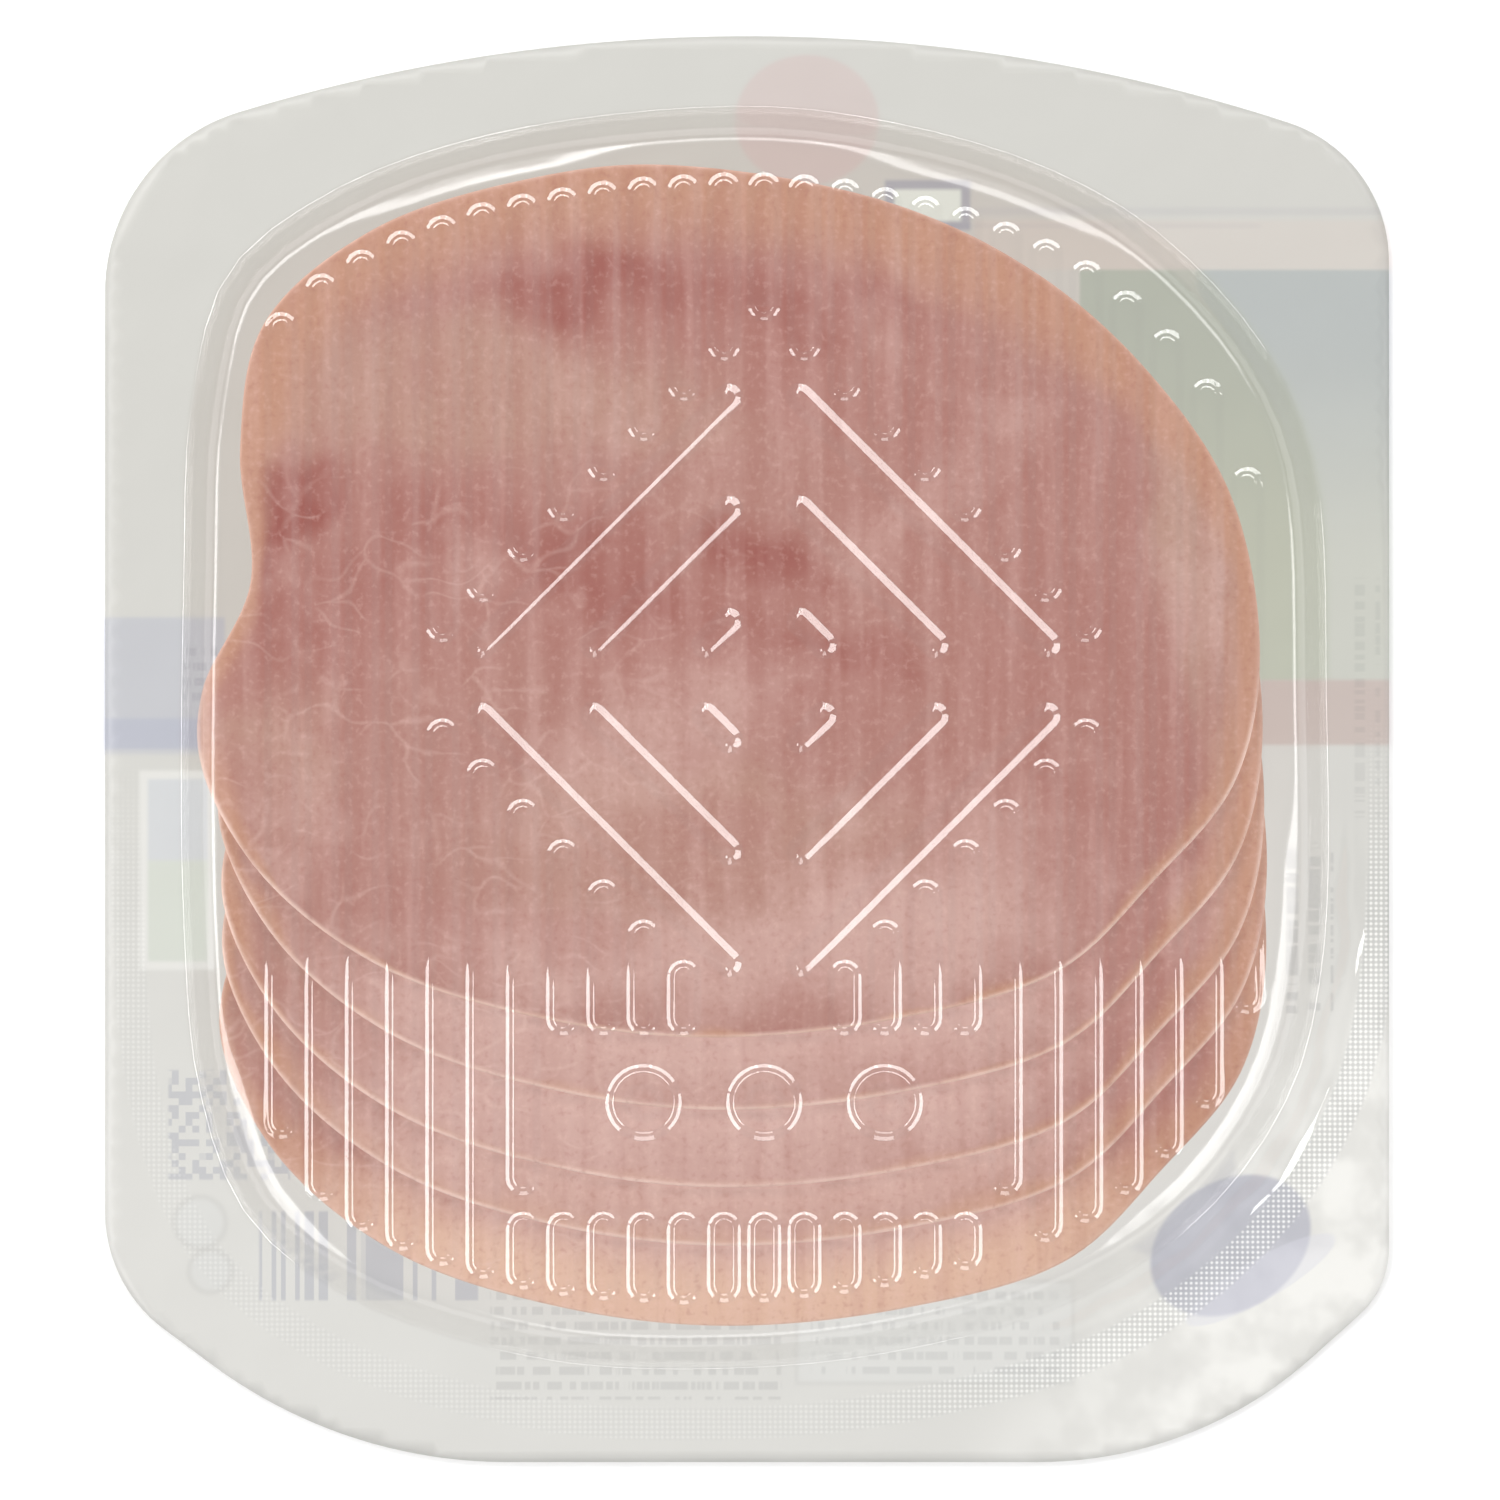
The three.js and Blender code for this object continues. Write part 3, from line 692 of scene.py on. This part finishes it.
def meat_colour(index, points, depth):
    """Colour of a slice over points in mm: muscles, clouds, the cured outer layer, a painted highlight
    on its cut edge and painted shade beside the slice above.
    """
    down, right, _ = SLICES[index]
    seed = 7 * index
    bend = sum(reach * np.column_stack([waves(points, size, seed + k + way) for way in (0, 50)])
               for size, reach, k in BENDS)
    on_slice = points + bend + (-right, down)
    colour = np.tile(MEAT["meat"], (len(points), 1))

    def blend(share, name):
        colour[:] += np.clip(share, 0, 1)[:, None] * (MEAT[name] - colour)

    for name, *place, share in MUSCLES:
        blend(share * patch(on_slice, *place), name)
    cloud = sum(strength * waves(points, size, seed + k) for size, strength, k in CLOUDS)
    blend(0.45 * smoothstep((cloud - 0.1) / 0.7), "rose")
    blend(0.32 * smoothstep((-0.1 - cloud) / 0.7), "pale")
    # the cured layer is widest at the top and the upper left, and low on the last slice
    across, height = on_slice[:, 0], on_slice[:, 1] - 15
    width = RIM_WIDTH + RIM_TOP * smoothstep((height - 12) / 26)
    width += LOW_RIM[index] * smoothstep((-height - 16) / 22)
    width += RIM_UPPER_LEFT * smoothstep((-across - 40) / 14) * smoothstep((height - 14) / 10)
    width += RIM_RIGHT * smoothstep((across - 38) / 16) + RIM_UNEVEN * waves(points, 8, seed + 5)
    width = np.maximum(width, 0.3)
    blend(0.9 * smoothstep(1.25 - depth / width), "peach")
    blend(LOW_PALE[index] * smoothstep((-height - 24) / 16) * smoothstep(1 - across / 40), "pale")
    blend(LOW_LIGHT[index] * smoothstep((-height - 26) / 16) * smoothstep(1.6 - depth / 6), "light")
    # painted highlight: the cut edge is painted pale where light catches it, most where it lies on the
    # next slice
    on_next = smoothstep((-height - 2) / 14) * (index < len(SLICES) - 1)
    uneven_highlight = np.clip(0.75 + 0.6 * waves(points, 7, seed + 6), 0.3, 1)
    blend((CUT_EDGE_HIGHLIGHT + CUT_EDGE_HIGHLIGHT_ON_NEXT * on_next * uneven_highlight) * smoothstep(1.2 - depth / 0.5), "cut_edge_highlight")
    # painted shade: a faint soft shade is painted on the slice beside the cut edge of the slice above
    for outline in slice_outlines[max(index - 1, 0):index]:
        past = -depth_inside(outline[::2], points)
        soft = smoothstep(past / 0.3) * smoothstep(1 - past / SLICE_SHADE_REACH)
        colour *= (1 - SLICE_SHADE * soft)[:, None]
    return colour


def ham_slice(index):
    """The mesh of a slice: an upper and an under face that meet in a rounded cut edge."""
    outline = slice_outlines[index]
    loops = [outline] + [inset(outline, ring) for ring in SLICE_EDGE_RINGS]
    loose = lattice(SLICE_LATTICE, lambda points: depth_inside(outline[::2], points) > SLICE_EDGE_CLEAR)
    name = f"ham_slice_{index + 1}_meat"

    def middle_and_half(points):
        depth = np.maximum(depth_inside(outline, points), 0)
        thick = slice_thickness(depth)
        uneven = sum(high * waves(points, size, index + k) for high, size, k in SLICE_UNEVEN)
        round_off = np.sqrt(np.clip(1 - (1 - np.clip(depth / EDGE_ROUND, 0, 1)) ** 2, 0, 1))
        return slice_top(index, points) - thick / 2 - UNEVEN_ROOM + uneven, thick / 2 * round_off

    piece, flat = sheet_mesh(name, loops, loose, lambda points: sum(middle_and_half(points)))
    middle, half = middle_and_half(flat)
    mesh = piece.data
    count = len(flat)
    faces = [tuple(p.vertices) for p in mesh.polygons]
    faces += [tuple(count + v for v in reversed(f)) for f in faces]
    places = [tuple(v.co) for v in mesh.vertices]
    under = np.column_stack([flat, middle - half]) * MM
    closed = bpy.data.meshes.new(name)
    closed.from_pydata(places + under.tolist(), [], faces)
    piece.data = closed
    bpy.data.meshes.remove(mesh)
    colour = np.ones((2 * count, 4), np.float32)
    colour[:, :3] = np.tile(meat_colour(index, flat, depth_inside(outline, flat)), (2, 1))
    closed.attributes.new("meat", "FLOAT_COLOR", "POINT").data.foreach_set("color", colour.ravel())
    select_only(piece)
    bpy.ops.object.mode_set(mode="EDIT")
    bpy.ops.mesh.select_all(action="SELECT")
    bpy.ops.mesh.remove_doubles(threshold=1e-6)
    bpy.ops.mesh.normals_make_consistent(inside=False)
    bpy.ops.object.mode_set(mode="OBJECT")
    piece.data.shade_smooth()
    return piece


def ham_material(index):
    """Moist cooked meat: its vertex colours, with veins, painted light and shade of the tray's flutes
    as streaks, and a fine grain.
    """
    made, tree = material(f"cooked_ham_{index + 1}")
    x, y, place = object_place(tree)
    colour = node(tree, "Attribute", attribute_name="meat").outputs["Color"]
    shift = node(tree, "VectorMath", {0: place, 1: (index * 37.0, index * 11.0, index * 5.0)},
                 operation="ADD").outputs[0]

    def tinted(value, low, high, strength, rgb):
        return blend_colours(tree, ramp(tree, value, low, high, 0, strength), colour, shade(*rgb))

    # a net of pale veins between the muscle fibres, in parts of the slice
    warp = noise_of(tree, {"Vector": shift, "Scale": 0.12, "Detail": 1.0})
    bent = node(tree, "VectorMath", {0: warp.outputs["Color"], 1: (9, 9, 0), 2: shift},
                operation="MULTIPLY_ADD").outputs[0]
    fibres = node(tree, "Mapping", {"Vector": bent, "Scale": (0.12, 0.24, 1)}).outputs[0]
    veins = node(tree, "TexVoronoi", {"Vector": fibres, "Scale": 1.0}, voronoi_dimensions="2D",
                 feature="DISTANCE_TO_EDGE").outputs[0]
    where = times(tree, ramp(tree, warp.outputs[0], 0.42, 0.6),
                  ramp(tree, x, 10, -30, 0.25, 1))
    where = times(tree, where, ramp(tree, y, 38, 26))
    vein = times(tree, ramp(tree, veins, 0.09, 0.0, 0, 0.17), where)
    colour = blend_colours(tree, vein, colour, shade(222, 190, 180))
    # painted light and shade: faint pale and dark streaks along Y, and bands at the flute pitch, where
    # the tray's flutes bend the light onto the meat
    along = node(tree, "Mapping", {"Vector": shift, "Scale": (0.5, 0.04, 1)}).outputs[0]
    flute_light_streak = noise_of(tree, {"Vector": along, "Scale": 1.0, "Detail": 2.0}).outputs[0]
    colour = tinted(flute_light_streak, 0.5, 0.75, 0.1, (226, 190, 184))
    colour = tinted(flute_light_streak, 0.48, 0.25, 0.14, (150, 88, 80))
    turn = times(tree, maths(tree, "SUBTRACT", x, RELIEF_X), 2 * math.pi / FLUTE_PITCH)
    colour = tinted(maths(tree, "SINE", turn), -0.2, 0.9, 0.06, (226, 196, 190))
    # muscle fibres, as fine mottling
    grain = noise_of(tree, {"Vector": shift, "Scale": 1.1, "Detail": 3.0, "Roughness": 0.65}).outputs[0]
    colour = tinted(grain, 0.52, 0.75, 0.15, (230, 192, 184))
    colour = tinted(grain, 0.46, 0.26, 0.22, (150, 84, 76))
    surface = node(tree, "BsdfPrincipled", {"Base Color": colour, "Roughness": 0.5}).outputs[0]
    node(tree, "OutputMaterial", {"Surface": surface})
    return made


for index in range(len(SLICES)):
    meat = ham_slice(index)
    meat.data.materials.append(ham_material(index))
    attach(meat, "root")
    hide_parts(f"ham_slice_{index + 1}")
    # soft light reaches all round the moist meat
    meat.visible_shadow = False
    meat.visible_diffuse = False

# ---- Lid film ------------------------------------------------------------------------
# A thin white-backed film, printed on its outer face. It is welded to the flange by a
# knurled band round the tray's mouth, and it is a little creased beside the weld.

LID_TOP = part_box("lid_film")[1][2] / MM
LID_SHEET = 0.12
LID_CLEARANCE = 0.02  # by which the film stays inside its place
LID_SLACK = 0.04  # how far it wavers inside the mouth
LID_RINGS = (-6.5, -5, -3.5, -2, -0.8, 0, 0.8, 2, 3.5, 5)
LID_LATTICE, LID_EDGE_CLEAR = 1.6, 0.8


def lid_height(points):
    """Height of the lid film's inner face in mm over each point."""
    depth = depth_inside(coarse_mouth, points)
    slack = np.clip((depth - 0.5) / 6, 0, 1)
    return LID_TOP - LID_CLEARANCE - LID_SLACK * slack * (1 + waves(points, 9, 21))


lid_loops = [edge] + mouth_rings(LID_RINGS, 0.4)
lid_lattice = lattice(LID_LATTICE, lambda points: depth_inside(edge, points) > LID_EDGE_CLEAR)
lid, lid_points = sheet_mesh("lid_film_printed", lid_loops, lid_lattice, lid_height)
outside = lid.data.attributes.new("beyond_mouth", "FLOAT", "POINT")
outside.data.foreach_set("value", (-depth_inside(coarse_mouth, lid_points)).astype(np.float32))
apply_modifier(lid, "SOLIDIFY", thickness=LID_SHEET * MM, offset=-1)

# fields of the print as they lie on the pack: (x from, x to, y from, y to), the colour of
# the print, and how strongly it shows through to the white inner face
PRINT_FIELDS = [
    ((26.6, 76, 56, 61.8), (214, 170, 150), 0.1),
    ((26.6, 76, 62.4, 63.3), (120, 110, 140), 0.1),
    ((8, 60, 60.9, 61.4), (120, 110, 140), 0.09),
    ((60, 76, 0.5, 8.1), (172, 140, 132), 0.45),
    ((-76, -61, 0, 15.4), (70, 96, 170), 0.17),
    ((-76, -62.5, -0.6, 3.6), (60, 90, 170), 0.12),
    ((16.1, 26.1, 60.6, 66.5), (40, 60, 120), 0.3),
    ((17.2, 25, 61.7, 65.4), (206, 206, 196), 0.9),
    ((-71, -62.1, -25.8, -2.5), (222, 221, 217), 0.6),
    ((-70, -63, -13, -3.5), (70, 110, 160), 0.17),
    ((-70, -63, -24.8, -13), (90, 140, 80), 0.17),
    ((5.6, 38.3, -74.3, -62), (90, 90, 96), 0.09),
    ((6, 37.9, -73.9, -62.4), (214, 214, 211), 0.6),
]
# the middle of the print, which the ham hides from within: the same, on the outer face only
HIDDEN_FIELDS = [
    ((-48, 76, 56, 58), (214, 170, 150), 0.2),
    ((-48, 60, -31, -5), (226, 188, 178), 0.2), ((-48, 60, -5, -3.6), (60, 76, 130), 0.2),
]
HIDDEN_OVALS = [
    (-2, 32, 36, 17, 0, (60, 76, 130), 0.2), (-2, 32, 35, 16, 0, (240, 239, 234), 0.25),
]
HIDDEN_BARS = [
    ((-24, 20, 33, 38.5), (60, 76, 130), 0.2), ((-16, 12, 26.5, 29), (120, 124, 130), 0.2),
    ((-40, 24, -16, -12.5), (150, 84, 90), 0.2), ((-40, 6, -23.5, -21), (150, 84, 90), 0.14),
]
# ovals: x, y, half x, half y, turn in degrees, colour of the print, and its strength
PRINT_OVALS = [
    (56.5, -58, 10, 7.5, 32, (30, 50, 130), 0.33), (60, -62, 10, 2.4, 30, (206, 206, 216), 0.4),
    (7, 73.5, 8.4, 7.6, 0, (200, 70, 90), 0.12),
    (-63.9, -55.3, 3.3, 3.3, 0, (90, 90, 96), 0.1),
    (-63.9, -55.3, 2.7, 2.7, 0, (208, 208, 205), 0.75),
    (-62.7, -61, 2.8, 2.8, 0, (90, 90, 96), 0.1),
    (-62.7, -61, 2.2, 2.2, 0, (208, 208, 205), 0.75),
]
# small print, as plain rows or columns of dashes: box, strength, and whether they run along Y
SMALL_PRINT = [
    ((-30, 4, -76, -61.5), 0.14, False), ((7.5, 36.5, -73, -63), 0.12, False),
    ((-66, -57, 5, 12), 0.2, False), ((62.5, 68.5, -31, -11), 0.2, True),
    ((71, 74, -8, 20), 0.1, True),
]
SMALL_PRINT_STEP = {False: 1.75, True: 2.6}
SMALL_PRINT_INK, PATTERN_INK = (70, 70, 84), (60, 76, 130)
# plain upright bars and squares: box, size along X and along Y, and strength
PATTERNS = [
    ((-57, -31.4, -64.4, -54), (0.55, 40), 0.24), ((-67.6, -53.4, -50.3, -37.5), (0.8, 0.8), 0.22),
]
# the large field: its box on the inner face and on the outer one, and the colour and strength
# of its green and of the blue that it turns into towards its top
LARGE_FIELD = {True: (38.9, 76, 8.1, 56), False: (-48, 76, 8.1, 56)}
GREEN, BLUE = ((130, 150, 106), 0.34), ((118, 134, 156), 0.3)
BLUE_FROM, BLUE_TO = 18, 52
GREEN_ON_FLANGE, BLUE_IN_MOUTH = 0.4, 0.45
FIELD_EDGE, FINE_EDGE, OVAL_EDGE = 0.35, 0.06, 0.4
OUTER_INK = 4.5  # how much stronger the print is on the outer face
# the seal's knurl: how far it lies from the mouth, how softly it ends, and the period of its dots
KNURL_FROM, KNURL_TO, KNURL_EASE, KNURL_PERIOD = 4.2, 8.6, 0.6, 1.2
# how strongly the knurl's dots get painted shade and painted highlight, and the height of their bump
KNURL_PAINTED_SHADE, KNURL_PAINTED_HIGHLIGHT, KNURL_HEIGHT = 0.32, 0.65, 0.05


def box_mask(tree, x, y, box, soft):
    """1 inside a box, 0 outside it."""
    left, right, low, high = box
    across = maths(tree, "ABSOLUTE", maths(tree, "SUBTRACT", x, (left + right) / 2))
    along = maths(tree, "ABSOLUTE", maths(tree, "SUBTRACT", y, (low + high) / 2))
    return times(tree, ramp(tree, across, (right - left) / 2 + soft, (right - left) / 2 - soft),
                 ramp(tree, along, (high - low) / 2 + soft, (high - low) / 2 - soft))


def oval_mask(tree, place, x, y, half_x, half_y, turn):
    """1 inside an oval, 0 outside it."""
    centred = node(tree, "VectorMath", {0: place, 1: (x, y, 0)}, operation="SUBTRACT").outputs[0]
    turned = node(tree, "VectorRotate", {"Vector": centred, "Angle": math.radians(-turn)},
                  rotation_type="Z_AXIS").outputs[0]
    scaled = node(tree, "VectorMath", {0: turned, 1: (1 / half_x, 1 / half_y, 0)},
                  operation="MULTIPLY").outputs[0]
    out = node(tree, "VectorMath", {0: scaled}, operation="LENGTH").outputs["Value"]
    return ramp(tree, out, 1.0 + OVAL_EDGE / half_x, 1.0 - OVAL_EDGE / half_x)


def dashes(tree, along, across, step):
    """Rows of dashes of uneven length, as small print looks from afar."""
    scaled = maths(tree, "DIVIDE", across, step)
    row = maths(tree, "FLOOR", scaled)
    links = {0: times(tree, along, 1.1), 1: times(tree, row, 7.3)}
    place = node(tree, "CombineXYZ", links).outputs[0]
    words = noise_of(tree, {"Vector": place, "Scale": 1.0, "Detail": 1.0}).outputs[0]
    off_row = maths(tree, "ABSOLUTE", maths(tree, "SUBTRACT", maths(tree, "FRACT", scaled), 0.5))
    in_row = ramp(tree, off_row, 0.34, 0.2)
    return times(tree, in_row, ramp(tree, words, 0.42, 0.5))


def cell_mask(tree, x, y, box, size):
    """Cells of one size over a box, half of them inked."""
    cells = [times(tree, maths(tree, "FLOOR", maths(tree, "DIVIDE", value, step)), 3.7)
             for value, step in ((x, size[0]), (y, size[1]))]
    place = node(tree, "CombineXYZ", {0: cells[0], 1: cells[1]}).outputs[0]
    inked = noise_of(tree, {"Vector": place, "Scale": 1.0, "Detail": 0.0}).outputs[0]
    return times(tree, ramp(tree, inked, 0.49, 0.51), box_mask(tree, x, y, box, 0.2))


def printed_film(name, inner):
    """One face of the lid film: the white inner one, which the print shows through, or the
    printed outer one."""
    made, tree = material(name)
    x, y, place = object_place(tree)
    beyond = node(tree, "Attribute", attribute_name="beyond_mouth").outputs["Fac"]
    if inner:
        # painted light: on the flange the white is painted lighter towards the bottom, and inside the
        # mouth lighter towards the lower right
        flange_white_painted_light = blend_colours(tree, ramp(tree, y, 40, -70),
                                   shade(195, 194, 189), shade(207, 206, 202))
        low_right = maths(tree, "SUBTRACT", times(tree, x, 0.3), y)
        middle = blend_colours(tree, ramp(tree, low_right, -60, 85),
                               shade(184, 178, 171), shade(205, 203, 199))
        colour = blend_colours(tree, ramp(tree, beyond, -1.0, 0.5), middle, flange_white_painted_light)
        # painted highlight: the creased film is painted lighter, in soft clouds, low on the right where
        # it catches the light
        cloud = noise_of(tree, {"Vector": place, "Scale": 0.12, "Detail": 3.0}).outputs[0]
        corner = maths(tree, "SUBTRACT", times(tree, x, 1.3), y)
        painted_crease_highlight = times(tree, ramp(tree, corner, 108, 144),
                       ramp(tree, cloud, 0.36, 0.62, 0.35, 1))
        colour = blend_colours(tree, painted_crease_highlight, colour, shade(231, 230, 226))
    else:
        colour = blend_colours(tree, ramp(tree, y, -60, 60), shade(236, 235, 228), shade(243, 242, 237))

    def ink_on(mask, ink, through):
        share = times(tree, mask, through if inner else min(1.0, OUTER_INK * through))
        return blend_colours(tree, share, colour, shade(*ink))

    for box, ink, through in PRINT_FIELDS + ([] if inner else HIDDEN_FIELDS):
        colour = ink_on(box_mask(tree, x, y, box, FIELD_EDGE if inner else FINE_EDGE), ink, through)
    # the green of the large field is fainter on the flange, and its blue inside the mouth
    large = box_mask(tree, x, y, LARGE_FIELD[inner], 0.3)
    fainter = ramp(tree, beyond, -1, 1, 1, GREEN_ON_FLANGE) if inner else 1.0
    colour = ink_on(times(tree, large, fainter), *GREEN)
    bluer = times(tree, large, ramp(tree, y, BLUE_FROM, BLUE_TO))
    fainter = ramp(tree, beyond, -1, 1, BLUE_IN_MOUTH, 1) if inner else 1.0
    colour = ink_on(times(tree, bluer, fainter), *BLUE)
    for *oval, ink, through in PRINT_OVALS + ([] if inner else HIDDEN_OVALS):
        colour = ink_on(oval_mask(tree, place, *oval), ink, through)
    for box, ink, through in [] if inner else HIDDEN_BARS:
        colour = ink_on(box_mask(tree, x, y, box, FINE_EDGE), ink, through)
    lines = {False: dashes(tree, x, y, SMALL_PRINT_STEP[False]),
             True: dashes(tree, y, x, SMALL_PRINT_STEP[True])}
    for box, through, upright in SMALL_PRINT:
        printed = times(tree, lines[upright], box_mask(tree, x, y, box, 0.2))
        colour = ink_on(printed, SMALL_PRINT_INK, through)
    for box, size, through in PATTERNS:
        colour = ink_on(cell_mask(tree, x, y, box, size), PATTERN_INK, through)
    # the seal's knurl: diagonal rows of small dots, pressed deepest low on the pack, with painted shade
    # and painted highlight on them that are strongest there too
    band = times(tree, ramp(tree, beyond, KNURL_FROM, KNURL_FROM + KNURL_EASE),
                 ramp(tree, beyond, KNURL_TO, KNURL_TO - KNURL_EASE))
    band = times(tree, band, ramp(tree, y, 5, -25, 0.02, 1))
    band = times(tree, band, ramp(tree, x, 0, 58, 0.22, 1))
    turns = 2 * math.pi / KNURL_PERIOD
    rows = [maths(tree, "SINE", times(tree, maths(tree, kind, x, y), turns))
            for kind in ("ADD", "SUBTRACT")]
    knurl = times(tree, rows[0], rows[1])
    # painted shade on half of the knurl's dots, and painted highlight on the others
    knurl_shade = times(tree, band, ramp(tree, knurl, 0.1, -0.1, 0, KNURL_PAINTED_SHADE))
    colour = blend_colours(tree, knurl_shade, colour, shade(164, 166, 168))
    light = times(tree, band, ramp(tree, knurl, 0.15, 0.6, 0, KNURL_PAINTED_HIGHLIGHT))
    colour = blend_colours(tree, light, colour, shade(250, 250, 248))
    knurl = times(tree, knurl, band)
    crease = noise_of(tree, {"Vector": place, "Scale": 0.09, "Detail": 1.0}).outputs[0]
    height = maths(tree, "MULTIPLY_ADD", knurl, KNURL_HEIGHT, crease)
    bump = node(tree, "Bump", {"Height": height, "Strength": 0.4, "Distance": 0.001}).outputs[0]
    links = {"Base Color": colour, "Roughness": 0.38, "Normal": bump}
    surface = node(tree, "BsdfPrincipled", links).outputs[0]
    node(tree, "OutputMaterial", {"Surface": surface})
    return made


lid.data.materials.append(printed_film("lid_film_inside", True))
lid.data.materials.append(printed_film("lid_film_outside", False))
for face in lid.data.polygons:
    face.material_index = 0 if face.normal.z > 0.5 else 1
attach(lid, "root")
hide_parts("lid_film")

# ---- Floor, lights and camera --------------------------------------------------------
# The pack lies on a plain white table and is seen from straight above, through a long
# lens. Large soft lamps stand round it, and their reflections draw the tray's ribs.

bpy.ops.object.select_all(action="DESELECT")
bpy.ops.mesh.primitive_plane_add(size=6, location=(0, 0, -0.0002))
table = bpy.context.active_object
table.name = "white_table"
table_paint, tree = material("white_table_top")
paint = node(tree, "BsdfPrincipled", {"Base Color": (0.97, 0.97, 0.97, 1), "Roughness": 0.8}).outputs[0]
node(tree, "OutputMaterial", {"Surface": paint})
table.data.materials.append(table_paint)

world = bpy.data.worlds.new("studio")
bpy.context.scene.world = world
world.use_nodes = True
world.node_tree.nodes["Background"].inputs["Color"].default_value = (1, 1, 1, 1)
world.node_tree.nodes["Background"].inputs["Strength"].default_value = 0.32

# (azimuth from +X, tilt from straight up, width and height in m, radiance) of each lamp
LAMP_DISTANCE = 0.8
LAMPS = {
    "lamp_low_left": (201, 64, 0.80, 0.26, 6),
    "lamp_low_right": (339, 64, 0.80, 0.26, 5.5),
    "lamp_high_left": (134, 61, 0.86, 0.24, 6),
    "lamp_high_right": (57, 61, 0.64, 0.24, 5),
    "lamp_left": (168, 68, 0.30, 0.20, 0.7),
    "lamp_right": (12, 68, 0.30, 0.20, 0.4),
    "lamp_high_middle": (92, 61, 0.34, 0.22, 4.5),
    "lamp_low_middle": (270, 62, 0.36, 0.22, 3),
}
for name, (azimuth, tilt, width, height, radiance) in LAMPS.items():
    lamp = bpy.data.lights.new(name, "AREA")
    lamp.shape, lamp.size, lamp.size_y = "RECTANGLE", width, height
    lamp.energy = radiance * math.pi * width * height
    holder = bpy.data.objects.new(name, lamp)
    bpy.context.collection.objects.link(holder)
    turn, lean = math.radians(azimuth), math.radians(tilt)
    holder.location = [LAMP_DISTANCE * part for part in (
        math.sin(lean) * math.cos(turn), math.sin(lean) * math.sin(turn), math.cos(lean))]
    holder.rotation_euler = Vector(holder.location).to_track_quat("Z", "Y").to_euler()

PHOTO_WIDTH = 1500 * 0.11682 * MM  # what the photograph spans at the pack
CAMERA_HEIGHT = 2.0
CAMERA_ASIDE = (0.00035, -0.0001)  # the pack's middle is at pixel 747, 749 of 1500
SENSOR_WIDTH = 36
lens = bpy.data.cameras.new("camera")
lens.sensor_width = SENSOR_WIDTH
lens.lens = SENSOR_WIDTH * CAMERA_HEIGHT / PHOTO_WIDTH
camera = bpy.data.objects.new("camera", lens)
bpy.context.collection.objects.link(camera)
camera.location = (*CAMERA_ASIDE, CAMERA_HEIGHT + FLANGE_TOP * MM)
bpy.context.scene.camera = camera
bpy.context.scene.view_settings.view_transform = "Standard"
